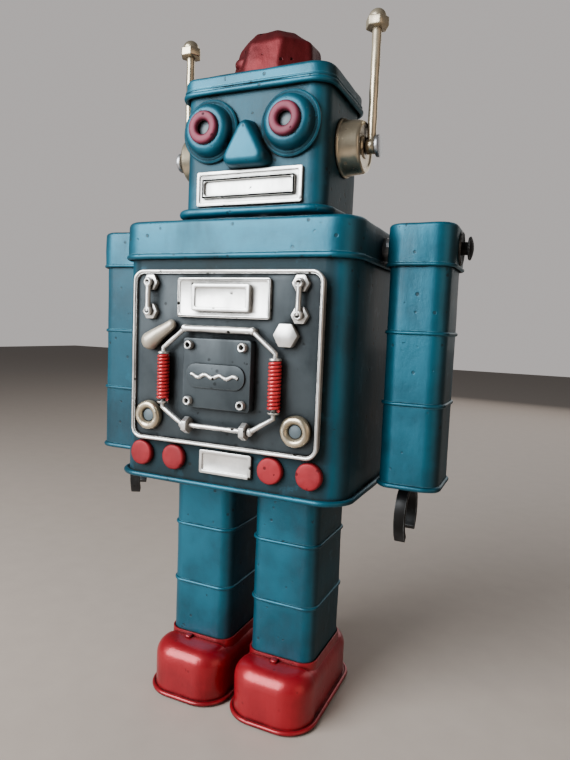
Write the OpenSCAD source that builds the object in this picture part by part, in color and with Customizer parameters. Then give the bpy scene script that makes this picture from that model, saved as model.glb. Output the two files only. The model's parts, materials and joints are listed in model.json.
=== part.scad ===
// Toy robot of painted sheet metal: hollow torso, head, arms, legs and shoes, bolted and pinned together.
// Frame: the origin is on the floor under the middle of the torso, +Z is up and the face looks along -Y.
// Names ending in _l are on the -X side and names ending in _r are on the +X side. Lengths are in mm.

/* [Sheet metal] */
// Thickness of the folded sheet
skin = 1; // [0.9:0.1:1.1]
// Radius of the small beads rolled round the arms and legs
rib_r = 0.9; // [0.8:0.1:1.1]
// Radius of the beads at the edges of lids and end plates
edge_r = 1.4; // [1.2:0.1:1.6]
// Gap between two sheets that slide over each other
lap = 0.2; // [0.1:0.05:0.3]
// Radial gap of every pin, bolt and screw in its hole
slip = 0.05; // [0.03:0.01:0.08]
// Gap kept between pieces that move past each other
air = 0.4; // [0.3:0.05:0.6]

/* [Torso] */
// Height of the underside of the torso above the floor
stance_h = 117; // [98:1:141]
// Width of the torso shell
torso_w = 120; // [100:1:144]
// Depth of the torso shell
torso_d = 88; // [74:1:106]
// Radius of the upright corners of the torso
torso_r = 12; // [9:1:15]
// Height of the torso shell between base and lid
torso_h = 124; // [103:1:149]
// Height of the skirt of the torso lid
torso_lid_h = 18.5; // [16:0.5:20]

/* [Legs and shoes] */
// Width of a leg
leg_w = 35; // [29:1:42]
// Depth of a leg
leg_d = 44; // [37:1:52]
// Radius of the upright corners of a leg
leg_r = 6.5; // [5:0.5:8]
// Gap between the two legs
leg_gap = 12.8; // [12:0.2:18]
// Gap between the two soles
shoe_gap = 1; // [0.6:0.1:1.4]
// How far the shoe shell reaches in front of the leg's centre line
shoe_front = 39; // [36:1:44]
// How far the shoe shell reaches behind the leg's centre line
shoe_back = 34; // [31:1:40]
// Radius of the shoe corners seen from above
shoe_r = 14; // [13:1:16]
// Height of the shoe shell above its sole
shoe_h = 24; // [20:1:28]
// Radius of the rounded top edge of the shoe
shoe_round = 7; // [5:0.5:8]
// Where the toe half meets the heel half, in front of the leg's centre line
shoe_seam = 23.5; // [23:0.5:24.5]

/* [Arms] */
// Width of an arm
arm_w = 28; // [24:1:34]
// Depth of an arm
arm_d = 35.4; // [31:0.2:42]
// Radius of the upright corners of an arm
arm_r = 7.5; // [6:0.5:9]
// Gap between the torso shell and an arm shell
arm_gap = 8; // [7:0.5:10]
// Length of an arm from the top of its cap to its end plate
arm_len = 119.8; // [100:0.1:143]
// Height of the skirt of an arm cap
arm_cap_h = 19.4; // [19:0.2:22]
// Depth of the shoulder axle below the top of the arm cap
axle_drop = 9.6; // [9.2:0.1:9.8]
// Diameter of the shoulder axle
axle_d = 6; // [5:0.5:7]
// Diameter of the domed heads of the axle
axle_head_d = 10.8; // [10:0.2:13]
// Diameter of the dished washer outside each arm
arm_washer_d = 15.6; // [13:0.2:15.8]

/* [Hands] */
// Outer diameter of the open ring that makes a hand
hand_d = 31; // [26:1:32]
// Width of the strip the hand is bent from
hand_w = 5; // [4:0.5:6]
// Thickness of that strip
hand_t = 3.2; // [2.6:0.2:4]
// Half of the angle of the hand's mouth
hand_mouth = 44; // [36:1:52]
// How far the -X hand is turned on its pin
hand_turn = 28; // [0:1:40]
// How far the pin of the +X hand sits off the arm's middle, towards the torso
hand_shift = 2.5; // [0:0.5:4]

/* [Head] */
// Width of the head shell
head_w = 76.5; // [64:0.5:92]
// Depth of the head shell
head_d = 52; // [44:1:62]
// Radius of the upright corners of the head
head_r = 8.5; // [7:0.5:10]
// Height of the head shell between base and lid
head_h = 64; // [62:1:76]
// Height of the skirt of the head lid
head_lid_h = 9.5; // [8:0.5:10]
// Gap between torso lid and the head's base plate
neck_gap = 5.8; // [5:0.2:7]
// Thread diameter of the large hexagon bolts
bolt_d = 6; // [5:0.5:7]

/* [Face] */
// Distance of each eye from the middle
eye_x = 21.4; // [18.5:0.1:24]
// Height of the eyes above the head's base plate
eye_z = 39.4; // [37:0.2:44]
// Diameter of the flange of an eye cup
eye_flange_d = 30.4; // [26:0.2:31]
// Diameter of the dome of an eye cup
eye_dome_d = 24.6; // [22:0.2:26]
// Height of the dome in front of the face
eye_dome_h = 7.5; // [6:0.5:9]
// Outer diameter of the eye ring
eye_ring_d = 15.6; // [14:0.2:17]
// Height of the middle of the mouth above the head's base plate
mouth_z = 11.9; // [11:0.1:13]
// Width of the mouth plate
mouth_w = 57; // [48:1:60]
// Height of the mouth plate
mouth_h = 16.6; // [15:0.2:18]
// Width of the nose at its base
nose_w = 23.5; // [20:0.5:25]
// Height of the nose
nose_h = 22.5; // [20:0.5:24]
// How far the nose stands out from the face
nose_out = 8.5; // [7:0.5:10]
// Height of the underside of the nose above the head's base plate
nose_z = 20.6; // [20.4:0.1:21.5]

/* [Ears, antennas and beacon] */
// Height of the ears above the head's base plate
ear_z = 34; // [30:0.2:38]
// Diameter of an ear drum
ear_d = 25; // [22:0.5:28]
// How far an ear drum stands out from the head
ear_out = 11.4; // [9:0.2:14]
// Diameter of an antenna rod
rod_d = 4.4; // [4:0.1:4.8]
// Length of the +X antenna from its pin to the underside of its nut
rod_len_r = 54.4; // [46:0.2:65]
// Length of the -X antenna from its pin to the underside of its nut
rod_len_l = 55.6; // [46:0.2:67]
// Distance across the flats of the acorn nuts
acorn_af = 10; // [9:0.5:11]
// Width of the beacon at its foot
beacon_w = 46; // [40:1:54]
// Depth of the beacon at its foot
beacon_d = 37; // [32:1:44]
// Height of the beacon
beacon_h = 25.5; // [21:0.5:31]

/* [Control panel] */
// Width of the bare torso front on each side of the panel
panel_side = 11; // [9:0.5:12]
// Height of the button band between torso base and panel
band_h = 19.5; // [18:0.5:21]
// Gap between the torso lid and the panel
panel_top = 6; // [5:0.5:8]
// Radius of the panel corners
panel_r = 5.5; // [4:0.5:7]
// Thickness of the panel plate
panel_t = 3; // [2.5:0.1:3.5]
// Radius of the bead round the panel
rim_r = 1; // [0.8:0.1:1.2]
// How far the bars and springs stand off the panel
standoff = 4; // [3.8:0.1:4.4]
// Diameter of the red buttons
button_d = 12.6; // [11:0.2:13]
// Thickness of the red buttons
button_t = 3; // [2:0.5:4]
// Outer diameter of the ring knobs
knob_d = 14.4; // [12.4:0.2:15]
// Outer diameter of the coil springs
spring_d = 6; // [5.2:0.2:6.4]
// Number of coils in each spring
spring_coils = 15; // [12:1:17]

/* [Hidden] */
$fn = 48;
fine_fn = 24;
hull_fn = 20;
eps = 0.01;
bead_bite = 0.8 * skin;
bolt_r = bolt_d / 2;
bolt_head_r = bolt_r * 10 / 6 / cos(30);
bolt_head_h = 4;
bolt_hole_r = bolt_r + slip;
small_r = 1.3;
small_nut_r = 7 / 2 / cos(30);
small_nut_h = 2.6;
screw_r = 1.7;
screw_head_r = 3;
screw_head_h = 1;
// Heights from the floor up
sole_t = 2.2;
leg_z = sole_t;
leg_x = (leg_gap + leg_w) / 2;
leg_h = stance_h - leg_z;
rib_low = 53.3 / 114.8 * leg_h;
rib_high = 84.8 / 114.8 * leg_h;
leg_bolt_y = leg_d / 4;
leg_bolt_len = 9;
sole_edge = 1.2;
sole_out = 0.3;
shoe_w = 2 * (leg_x - 1.5 * sole_edge - sole_out) - shoe_gap;
shoe_y = (shoe_back - shoe_front) / 2;
shoe_d = shoe_front + shoe_back;
shoe_lip = 1.6;
collar_w = leg_w + 2 * lap + 2 * skin;
collar_d = leg_d + 2 * lap + 2 * skin;
collar_r = leg_r + lap + skin;
tab_w = 3.4;
tab_out = 3.6;
tab_t = 1.5;
tab_at_r = -1;
tab_at_l = 4;
base_z = stance_h;
shell_z = base_z + skin;
lid_z = shell_z + torso_h;
torso_top = lid_z + skin;
front_y = -torso_d / 2;
torso_lid_round = 2.5;
// Shoulders
axle_z = torso_top - axle_drop;
axle_r = axle_d / 2;
axle_hole_r = axle_r + slip;
arm_x = torso_w / 2 + arm_gap + arm_w / 2;
cap_side = arm_w / 2 + lap + skin;
arm_end_z = torso_top - arm_len;
arm_z = arm_end_z + skin;
arm_h = torso_top - skin - arm_z;
arm_ribs_r = [37.2 / 118 * arm_h, 69.8 / 118 * arm_h];
arm_ribs_l = [32.2 / 118 * arm_h, 64.4 / 118 * arm_h];
arm_lid_round = 1.8;
arm_end_bead = 1.3;
washer_t = 1.2;
axle_show = 2.6;
axle_head_h = 2.2;
spacer_r = 5.5;
lid_side = torso_w / 2 + lap + skin;
spacer_len = arm_x - cap_side - lid_side - air;
washer_x = arm_x + cap_side;
head_x = washer_x + washer_t + axle_show;
large_nut_r = 10 / 2 / cos(30);
large_nut_h = 5;
// Hands
pin_r = 2;
hand_stem_r = 3;
hand_top = arm_end_z - 1.8;
hand_ring_r = hand_d / 2;
hand_z = hand_top - hand_ring_r;
// Head
neck_r = 9;
head_base_z = torso_top + neck_gap;
head_edge_r = 2.1;
head_z = head_base_z + skin;
head_lid_z = head_z + head_h;
head_top = head_lid_z + skin;
head_lid_round = 2;
face_y = -head_d / 2;
neck_washer_t = 1.2;
neck_bolt_len = neck_gap + 2 * skin + air + neck_washer_t + large_nut_h + 2;
// Ears and antennas
ear_zz = head_base_z + ear_z;
ear_side = head_w / 2;
ear_face = ear_side + ear_out;
ear_flange_r = ear_d / 2 + 1.5;
ear_flange_t = 1.6;
rod_r = rod_d / 2;
rod_x = ear_face + air + rod_r;
eye_end_r = 3.6;
ear_pin_head_r = 5.2;
ear_pin_head_t = 2;
ear_pin_back = 4;
acorn_r = acorn_af / 2 / cos(30);
acorn_hex_h = 4.5;
acorn_dome_r = acorn_af * 0.44;
acorn_bore = 4;
// Control panel: one layout unit is a hundredth of its width and an eightieth of its height
panel_w = torso_w - 2 * panel_side;
panel_z0 = shell_z + band_h;
panel_h = torso_top - torso_lid_h - panel_top - panel_z0;
panel_zc = panel_z0 + panel_h / 2;
ux = panel_w / 100;
uz = panel_h / 80;
panel_y = front_y - panel_t;
rail_y = panel_y - standoff;
handle_x = 40 * ux;
handle_z = 28 * uz;
handle_half = 6.9;
meter_x = 0.6 * ux;
meter_z = 28 * uz;
meter_w = 49.4 * ux;
meter_h = 18 * uz;
meter_t = 2.2;
gauge_w = 30.5 * ux;
gauge_h = 12.2 * uz;
gauge_t = 2.2;
gauge_rim = 1.8;
cone_a = [-38.8 * ux, 7.4 * uz];
cone_b = [-26.8 * ux, 15.2 * uz];
cone_ra = 4.3;
cone_rb = 2.1;
bolt_x = 34.1 * ux;
bolt_z = 12.5 * uz;
box_w = 36.4 * ux;
box_h = 32 * uz;
box_z = -6.4 * uz;
box_t = 5;
tube_x = 14.3 * ux;
tube_dz = 12.8 * uz;
tube_r = 2.1;
tube_bore = 1.1;
tube_out = 2.4;
oval_w = 31.4 * ux;
oval_h = 11 * uz;
oval_z = -7.4 * uz;
oval_t = 1;
wave_w = 25.5 * ux;
wave_a = 1.1;
wave_n = 3;
wave_r = 0.75;
loop_x = 18 * ux;
loop_z = 13.8 * uz;
loop_r = 1.6;
link_r = 1.15;
spring_x = 30 * ux;
spring_z0 = -21 * uz;
spring_z1 = 1.6 * uz;
collar_t = 1;
collar_out = 2.9;
bottom_x = 15.6 * ux;
bottom_z = -31 * uz;
wire_r = 1.1;
wire_ball_r = 1.65;
knob_x = 40 * ux;
knob_z = -28.8 * uz;
knob_t = 4;
knob_hole = 3.3;
button_zz = shell_z + band_h * 0.56;
button_xs = [-46.2 * ux, -26.7 * ux, 26.7 * ux, 46.2 * ux];
stem_r = 2;
stem_len = 4;
frame_x = 2.6 * ux;
frame_w = 28.4 * ux;
frame_h = 11.4;
frame_t = 2;
// The origin lies under the middle of the whole robot, from its lower nuts to the lid's back bead
front_reach = small_nut_r * cos(30) - rail_y;
back_reach = torso_d / 2 + lap + skin + 2 * edge_r - bead_bite;
mid_y = (front_reach - back_reach) / 2;

teal = [0.12, 0.42, 0.52];
slate = [0.2, 0.23, 0.24];
silver = [0.85, 0.84, 0.8];
champagne = [0.72, 0.68, 0.56];
red = [0.72, 0.1, 0.14];
button_red = [0.85, 0.27, 0.3];
dark = [0.12, 0.12, 0.12];
steel = [0.6, 0.6, 0.62];

// Moves a piece from the torso's own axis to its place over the origin
module placed() {
    translate([0, mid_y, 0]) children();
}

// Flat rounded rectangle, exact circles at the corners
module rrect(w, d, r) {
    square([w - 2 * r, d], center = true);
    square([w, d - 2 * r], center = true);
    for (x = [-1, 1], y = [-1, 1])
        translate([x * (w / 2 - r), y * (d / 2 - r)]) circle(r);
}

// Sweeps a flat profile round a rounded rectangle; x = 0 is its outer edge and y points up
module sweep(w, d, r) {
    for (k = [0:3]) {
        a = (k % 2 == 0) ? w : d;
        b = (k % 2 == 0) ? d : w;
        rotate([0, 0, 90 * k]) {
            translate([a / 2 - r, b / 2 - r, 0]) rotate_extrude(angle = 90) translate([r, 0]) children();
            translate([a / 2, b / 2 - r, 0]) rotate([90, 0, 0]) linear_extrude(b - 2 * r) children();
        }
    }
}

// Upright sheet wall with beads rolled outwards at the given heights
module wall_profile(h, ribs) {
    translate([-skin, 0]) square([skin, h]);
    for (z = ribs) translate([rib_r - bead_bite, z]) circle(rib_r, $fn = fine_fn);
}

// Tube folded from sheet, closed by a plate at the bottom or the top where asked
module folded_tube(w, d, r, h, ribs, floor_plate, roof_plate) {
    sweep(w, d, r) wall_profile(h, ribs);
    if (floor_plate) linear_extrude(skin) rrect(w - skin, d - skin, r - skin / 2);
    if (roof_plate) translate([0, 0, h - skin]) linear_extrude(skin)
        rrect(w - skin, d - skin, r - skin / 2);
}

// Lid pressed from sheet: a skirt, a rounded top edge and a bead at the lower edge; z = 0 is its lower edge
module lid(w, d, r, h, f, bead) {
    wo = w + 2 * (lap + skin);
    do = d + 2 * (lap + skin);
    ro = r + lap + skin;
    sweep(wo, do, ro) {
        translate([-skin, bead]) square([skin, h - f - bead]);
        translate([-f, h - f]) intersection() {
            difference() {
                circle(f);
                square(f - skin);
            }
            square(f);
        }
        translate([-f - skin, h - skin]) square([skin + eps, skin]);
        translate([bead - bead_bite, bead]) circle(bead, $fn = fine_fn);
    }
    translate([0, 0, h - skin]) linear_extrude(skin)
        rrect(wo - 2 * f - skin, do - 2 * f - skin, ro - f - skin / 2);
}

// End plate whose edge is rolled into a bead round the foot of a shell of the given size
module rolled_plate(w, d, r, t, bead) {
    o = bead + lap;
    linear_extrude(t) rrect(w + 2 * o, d + 2 * o, r + o);
    sweep(w + 2 * o, d + 2 * o, r + o) translate([0, t / 2]) circle(bead, $fn = fine_fn);
}

// End plate under a shell of the same size, its edge rolled downwards into a bead
module under_plate(w, d, r, t, bead) {
    linear_extrude(t) rrect(w, d, r);
    sweep(w, d, r) translate([0, t - bead]) circle(bead, $fn = fine_fn);
}

// Round bar between two points
module bar(p, q, r) {
    v = q - p;
    translate(p) rotate([0, acos(v[2] / norm(v)), atan2(v[1], v[0])])
        cylinder(r = r, h = norm(v), $fn = fine_fn);
}

// Hexagon prism with a flat to flat width set by its corner radius
module hexagon(r, h) {
    cylinder(r = r, h = h, $fn = 6);
}

// Turns children so that their +Z points out of the front, with the given point on the panel layout
module on_front(x, z, y) {
    translate([x, y, z]) rotate([90, 0, 0]) children();
}

// ---- Torso ----

module torso_shell() {
    color(teal) difference() {
        translate([0, 0, shell_z]) folded_tube(torso_w, torso_d, torso_r, torso_h, [], false, false);
        translate([0, 0, axle_z]) rotate([0, 90, 0])
            cylinder(r = axle_hole_r, h = torso_w * 2, center = true);
        on_front(bolt_x, panel_zc + bolt_z, 0) cylinder(r = bolt_hole_r, h = torso_d);
        for (x = [-knob_x, knob_x])
            on_front(x, panel_zc + knob_z, 0) cylinder(r = screw_r + slip, h = torso_d);
        for (x = button_xs) on_front(x, button_zz, 0) cylinder(r = stem_r + slip, h = torso_d);
    }
}

module torso_lid() {
    color(teal) difference() {
        translate([0, 0, torso_top - torso_lid_h])
            lid(torso_w, torso_d, torso_r, torso_lid_h, torso_lid_round, edge_r);
        translate([0, 0, axle_z]) rotate([0, 90, 0])
            cylinder(r = axle_hole_r, h = torso_w * 2, center = true);
        translate([0, 0, lid_z - skin]) cylinder(r = bolt_hole_r, h = skin * 3);
    }
}

module torso_base() {
    color(teal) difference() {
        translate([0, 0, base_z]) rolled_plate(torso_w, torso_d, torso_r, skin, edge_r);
        for (x = [-leg_x, leg_x], y = [-leg_bolt_y, leg_bolt_y])
            translate([x, y, base_z - skin]) cylinder(r = bolt_hole_r, h = skin * 3);
    }
}

// ---- Control panel ----

module panel_plate() {
    color(slate) difference() {
        on_front(0, panel_zc, front_y)
            linear_extrude(panel_t) rrect(panel_w - 2 * rim_r, panel_h - 2 * rim_r, panel_r - rim_r);
        on_front(bolt_x, panel_zc + bolt_z, 0) cylinder(r = bolt_hole_r, h = torso_d);
        for (x = [-knob_x, knob_x])
            on_front(x, panel_zc + knob_z, 0) cylinder(r = screw_r + slip, h = torso_d);
    }
}

module panel_rim() {
    color(silver) on_front(0, panel_zc, front_y) sweep(panel_w, panel_h, panel_r) {
        translate([-rim_r, 0]) square([rim_r, panel_t + rim_r]);
        translate([-rim_r / 2, panel_t + rim_r]) circle(rim_r, $fn = fine_fn);
    }
}

module meter_plate() {
    color(silver) on_front(meter_x, panel_zc + meter_z, panel_y) {
        difference() {
            linear_extrude(meter_t) rrect(meter_w, meter_h, skin);
            translate([0, 0, meter_t - skin / 2])
                linear_extrude(skin) rrect(meter_w - 2 * skin, meter_h - 2 * skin, skin / 2);
        }
        difference() {
            linear_extrude(meter_t + gauge_t) rrect(gauge_w, gauge_h, skin);
            translate([0, 0, meter_t + gauge_t - skin / 2])
                linear_extrude(skin) rrect(gauge_w - 2 * gauge_rim, gauge_h - 2 * gauge_rim, skin / 2);
        }
    }
}

module lower_frame() {
    color(silver) on_front(frame_x, button_zz, front_y) difference() {
        linear_extrude(frame_t) rrect(frame_w, frame_h, skin);
        translate([0, 0, frame_t - skin / 2])
            linear_extrude(skin) rrect(frame_w - 2 * gauge_rim, frame_h - 2 * gauge_rim, skin / 2);
    }
}

module handle_bars() {
    color(silver) for (x = [-handle_x, handle_x]) {
        ends = [for (s = [-1, 1]) [x, rail_y, panel_zc + handle_z + s * handle_half]];
        bar(ends[0], ends[1], small_r);
        for (e = ends) {
            translate(e) sphere(small_r + lap, $fn = fine_fn);
            on_front(e[0], e[2], panel_y) cylinder(r = small_r, h = standoff, $fn = fine_fn);
        }
    }
}

// Blunt cone lying on the panel with its thick end down
module cone_knob() {
    d = cone_b - cone_a;
    color(champagne) intersection() {
        translate([cone_a[0], panel_y - cone_ra * 0.6, panel_zc + cone_a[1]]) {
            rotate([0, atan2(d[0], d[1]), 0]) cylinder(r1 = cone_ra, r2 = cone_rb, h = norm(d));
            sphere(cone_ra + lap);
            translate([d[0], 0, d[1]]) sphere(cone_rb + lap, $fn = fine_fn);
        }
        translate([-torso_w, panel_y - torso_d, 0]) cube([torso_w * 2, torso_d, torso_top]);
    }
}

// Pressed cover, hollow behind, held by the four tubes
module box_cover() {
    color(slate) on_front(0, panel_zc + box_z, panel_y) difference() {
        linear_extrude(box_t) rrect(box_w, box_h, skin * 1.5);
        translate([0, 0, -skin]) linear_extrude(box_t) rrect(box_w - 2 * skin, box_h - 2 * skin, skin / 2);
        for (x = [-tube_x, tube_x], z = [-tube_dz, tube_dz])
            translate([x, z, 0]) cylinder(r = tube_r + slip, h = box_t * 2, $fn = fine_fn);
    }
}

module box_tubes() {
    color(silver) for (x = [-tube_x, tube_x], z = [-tube_dz, tube_dz])
        on_front(x, panel_zc + box_z + z, panel_y) difference() {
            cylinder(r = tube_r, h = box_t + tube_out, $fn = fine_fn);
            translate([0, 0, skin]) cylinder(r = tube_bore, h = box_t + tube_out, $fn = fine_fn);
        }
}

module oval_plate() {
    color(slate) on_front(0, panel_zc + oval_z, panel_y - box_t)
        linear_extrude(oval_t) rrect(oval_w, oval_h, oval_h / 2 - eps);
}

// Wavy ridge: short bars that follow a sine
module wave_strip() {
    steps = wave_n * 8;
    pts = [for (i = [0:steps]) [wave_w * (i / steps - 0.5), wave_a * sin(360 * wave_n * i / steps + 90)]];
    color(silver) on_front(0, panel_zc + oval_z, panel_y - box_t - oval_t) linear_extrude(wave_r) {
        for (i = [0:steps - 1]) hull() {
            translate(pts[i]) circle(wave_r, $fn = fine_fn / 2);
            translate(pts[i + 1]) circle(wave_r, $fn = fine_fn / 2);
        }
    }
}

// Upper rod on two posts, with a bent arm and a seat for the spring at each end
module loop_top() {
    color(silver) {
        bar([-loop_x, rail_y, panel_zc + loop_z], [loop_x, rail_y, panel_zc + loop_z], loop_r);
        for (s = [-1, 1]) {
            knee = [s * loop_x, rail_y, panel_zc + loop_z];
            seat = [s * spring_x, rail_y, panel_zc + spring_z1 + collar_out];
            foot = [s * spring_x, rail_y, panel_zc + spring_z1 - collar_out];
            translate(knee) sphere(loop_r + lap, $fn = fine_fn);
            on_front(knee[0], knee[2], panel_y) cylinder(r = link_r, h = standoff, $fn = fine_fn);
            bar(knee, seat, link_r);
            translate(seat) sphere(link_r + lap, $fn = fine_fn);
            bar(foot, seat, link_r);
            translate([seat[0], rail_y, panel_zc + spring_z1])
                cylinder(r = spring_d / 2 - lap, h = collar_t, $fn = fine_fn);
        }
    }
}

// Lower wire on two posts, with a bent arm and a seat for the spring at each end
module loop_bottom() {
    color(silver) {
        knee_x = bottom_x + small_nut_h;
        bar([-knee_x, rail_y, panel_zc + bottom_z], [knee_x, rail_y, panel_zc + bottom_z], wire_r);
        for (s = [-1, 1]) {
            knee = [s * knee_x, rail_y, panel_zc + bottom_z];
            seat = [s * spring_x, rail_y, panel_zc + spring_z0 - collar_out];
            foot = [s * spring_x, rail_y, panel_zc + spring_z0 + collar_out];
            translate(knee) sphere(wire_ball_r, $fn = fine_fn);
            on_front(knee[0], knee[2], panel_y) cylinder(r = wire_r - lap / 2, h = standoff, $fn = fine_fn);
            bar(knee, seat, wire_r);
            translate(seat) sphere(wire_ball_r, $fn = fine_fn);
            bar(foot, seat, wire_r - lap / 2);
            translate([seat[0], rail_y, panel_zc + spring_z0 - collar_t])
                cylinder(r = spring_d / 2 - lap, h = collar_t, $fn = fine_fn);
        }
    }
}

// Close-wound springs, drawn as touching coils round a thin sleeve
module springs() {
    len = spring_z1 - spring_z0;
    pitch = len / spring_coils;
    wire = pitch * 0.46;
    color(red) for (x = [-spring_x, spring_x])
        translate([x, rail_y, panel_zc + spring_z0]) rotate_extrude() {
            translate([spring_d / 2 - 1.5 * wire, 0]) square([wire, len]);
            for (i = [0:spring_coils - 1])
                translate([spring_d / 2 - wire, pitch * (i + 0.5)]) circle(wire, $fn = fine_fn);
        }
}

// Thick rounded rings on a thin floor that a screw holds down
module ring_knobs() {
    round_r = knob_t * 0.35;
    color(champagne) for (x = [-knob_x, knob_x])
        on_front(x, panel_zc + knob_z, panel_y) rotate_extrude() {
            translate([screw_r + slip, 0]) square([knob_d / 2 - screw_r - slip, skin]);
            translate([knob_hole, 0]) square([knob_d / 2 - knob_hole, knob_t - round_r]);
            translate([knob_hole + round_r, 0]) square([knob_d / 2 - knob_hole - 2 * round_r, knob_t]);
            translate([knob_hole + round_r, knob_t - round_r]) circle(round_r, $fn = fine_fn);
            translate([knob_d / 2 - round_r, knob_t - round_r]) circle(round_r, $fn = fine_fn);
        }
}

// Flat discs on stems that pass through the torso front
module buttons() {
    color(button_red) for (x = button_xs) {
        on_front(x, button_zz, front_y) cylinder(r = button_d / 2, h = button_t);
        on_front(x, button_zz, front_y + stem_len) cylinder(r = stem_r, h = stem_len + button_t / 2);
    }
}

// ---- Fasteners ----

module small_nuts() {
    color(silver) {
        for (x = [-handle_x, handle_x], s = [-1, 1])
            on_front(x, panel_zc + handle_z + s * handle_half, panel_y) difference() {
                hexagon(small_nut_r, small_nut_h);
                translate([0, 0, -skin]) cylinder(r = small_r + slip, h = small_nut_h * 2, $fn = fine_fn);
            }
        for (s = [-1, 1])
            translate([s * bottom_x - small_nut_h / 2, rail_y, panel_zc + bottom_z]) rotate([0, 90, 0])
                difference() {
                    hexagon(small_nut_r, small_nut_h);
                    translate([0, 0, -skin])
                        cylinder(r = wire_r + slip, h = small_nut_h * 2, $fn = fine_fn);
                }
    }
}

// Nuts inside the torso on the axle, and the nut that holds the head down
module large_nuts() {
    inner = torso_w / 2 - skin;
    color(steel) {
        for (s = [-1, 1]) translate([s * (inner - large_nut_h / 2), 0, axle_z]) rotate([0, 90, 0])
            difference() {
                translate([0, 0, -large_nut_h / 2]) hexagon(large_nut_r, large_nut_h);
                cylinder(r = axle_hole_r, h = large_nut_h * 2, center = true);
            }
        translate([0, 0, head_z + air]) difference() {
            union() {
                cylinder(r = neck_r - skin, h = neck_washer_t);
                hexagon(large_nut_r, neck_washer_t + large_nut_h);
            }
            cylinder(r = bolt_hole_r, h = large_nut_h * 4, center = true);
        }
    }
}

// Hexagon bolt with its head on z = 0 and its shank pointing down
module hex_bolt(len) {
    hexagon(bolt_head_r, bolt_head_h);
    translate([0, 0, -len]) cylinder(r = bolt_r, h = len + bolt_head_h / 2);
}

module hex_bolts() {
    color(silver) {
        on_front(bolt_x, panel_zc + bolt_z, panel_y) hex_bolt(panel_t + skin + bolt_head_h);
        for (x = [-leg_x, leg_x], y = [-leg_bolt_y, leg_bolt_y])
            translate([x, y, shell_z]) hex_bolt(leg_bolt_len);
        translate([0, 0, lid_z]) mirror([0, 0, 1]) hex_bolt(neck_bolt_len);
    }
}

// Flat screw with its head on z = 0 and its shank pointing down
module flat_screw(len) {
    cylinder(r = screw_head_r, h = screw_head_h);
    translate([0, 0, -len]) cylinder(r = screw_r, h = len + screw_head_h / 2);
}

module flat_screws() {
    color(steel) {
        for (x = [-knob_x, knob_x])
            on_front(x, panel_zc + knob_z, panel_y - skin) flat_screw(panel_t + skin + bolt_head_h);
        for (x = [-leg_x, leg_x])
            translate([x, 0, screw_head_h + lap]) mirror([0, 0, 1]) flat_screw(bolt_head_h);
    }
}

// ---- Shoulders and arms ----

// One rod right through the torso with both ends riveted over into domed heads
module shoulder_axle() {
    color(dark) translate([0, 0, axle_z]) rotate([0, 90, 0]) {
        cylinder(r = axle_r, h = 2 * head_x + axle_head_h, center = true);
        for (s = [0, 1]) mirror([0, 0, s]) translate([0, 0, head_x]) rotate_extrude() {
            square([axle_head_d / 2, axle_head_h / 2]);
            intersection() {
                translate([0, axle_head_h - axle_head_d * 0.8]) circle(axle_head_d * 0.8);
                translate([0, axle_head_h / 2 - eps]) square([axle_head_d / 2, axle_head_h]);
            }
        }
    }
}

module shoulder_spacers() {
    color(steel) for (s = [0, 1]) mirror([s, 0, 0]) translate([lid_side, 0, axle_z]) rotate([0, 90, 0])
        difference() {
            cylinder(r = spacer_r, h = spacer_len);
            translate([0, 0, -skin]) cylinder(r = axle_hole_r, h = spacer_len * 2);
        }
}

// Arm tube; the axle passes through both of its side walls
module arm_shell(ribs) {
    color(teal) difference() {
        translate([arm_x, 0, arm_z]) folded_tube(arm_w, arm_d, arm_r, arm_h, ribs, false, false);
        translate([arm_x, 0, axle_z]) rotate([0, 90, 0])
            cylinder(r = axle_hole_r, h = arm_w * 2, center = true);
    }
}

module arm_cap() {
    color(teal) difference() {
        translate([arm_x, 0, torso_top - arm_cap_h])
            lid(arm_w, arm_d, arm_r, arm_cap_h, arm_lid_round, rib_r);
        translate([arm_x, 0, axle_z]) rotate([0, 90, 0])
            cylinder(r = axle_hole_r, h = arm_w * 2, center = true);
    }
}

module arm_end(shift) {
    color(teal) difference() {
        translate([arm_x, 0, arm_end_z]) under_plate(arm_w, arm_d, arm_r, skin, arm_end_bead);
        translate([arm_x - shift, 0, arm_end_z - skin]) cylinder(r = pin_r + slip, h = skin * 3);
    }
}

// Dished washer against the outside of the arm cap
module arm_washer() {
    color(dark) translate([washer_x, 0, axle_z]) rotate([0, 90, 0]) difference() {
        cylinder(r = arm_washer_d / 2, h = washer_t);
        translate([0, 0, washer_t / 2]) cylinder(r = arm_washer_d / 2 - skin, h = washer_t);
        translate([0, 0, -skin]) cylinder(r = axle_hole_r, h = washer_t * 4);
    }
}

// Open ring with its mouth down, on a pin riveted over inside the arm
module hand(turn, shift) {
    color(dark) translate([arm_x - shift, 0, 0]) rotate([0, 0, turn]) {
        translate([hand_w / 2, 0, hand_z]) rotate([0, -90, 0]) linear_extrude(hand_w) difference() {
            circle(hand_ring_r);
            circle(hand_ring_r - hand_t);
            polygon([[0, 0], [-hand_d, -hand_d * tan(hand_mouth)], [-hand_d, hand_d * tan(hand_mouth)]]);
        }
        translate([0, 0, hand_top - hand_t / 2])
            cylinder(r = hand_stem_r, h = arm_end_z - air - hand_top + hand_t / 2);
        translate([0, 0, hand_top - hand_t / 2])
            cylinder(r = pin_r, h = arm_z + air + 2 - hand_top + hand_t / 2);
        translate([0, 0, arm_z + air]) cylinder(r = pin_r * 2, h = 2);
    }
}

// ---- Neck and head ----

module neck_spacer() {
    color(steel) translate([0, 0, torso_top]) difference() {
        cylinder(r = neck_r, h = neck_gap - air);
        translate([0, 0, -skin]) cylinder(r = bolt_hole_r, h = neck_gap * 2);
    }
}

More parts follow.
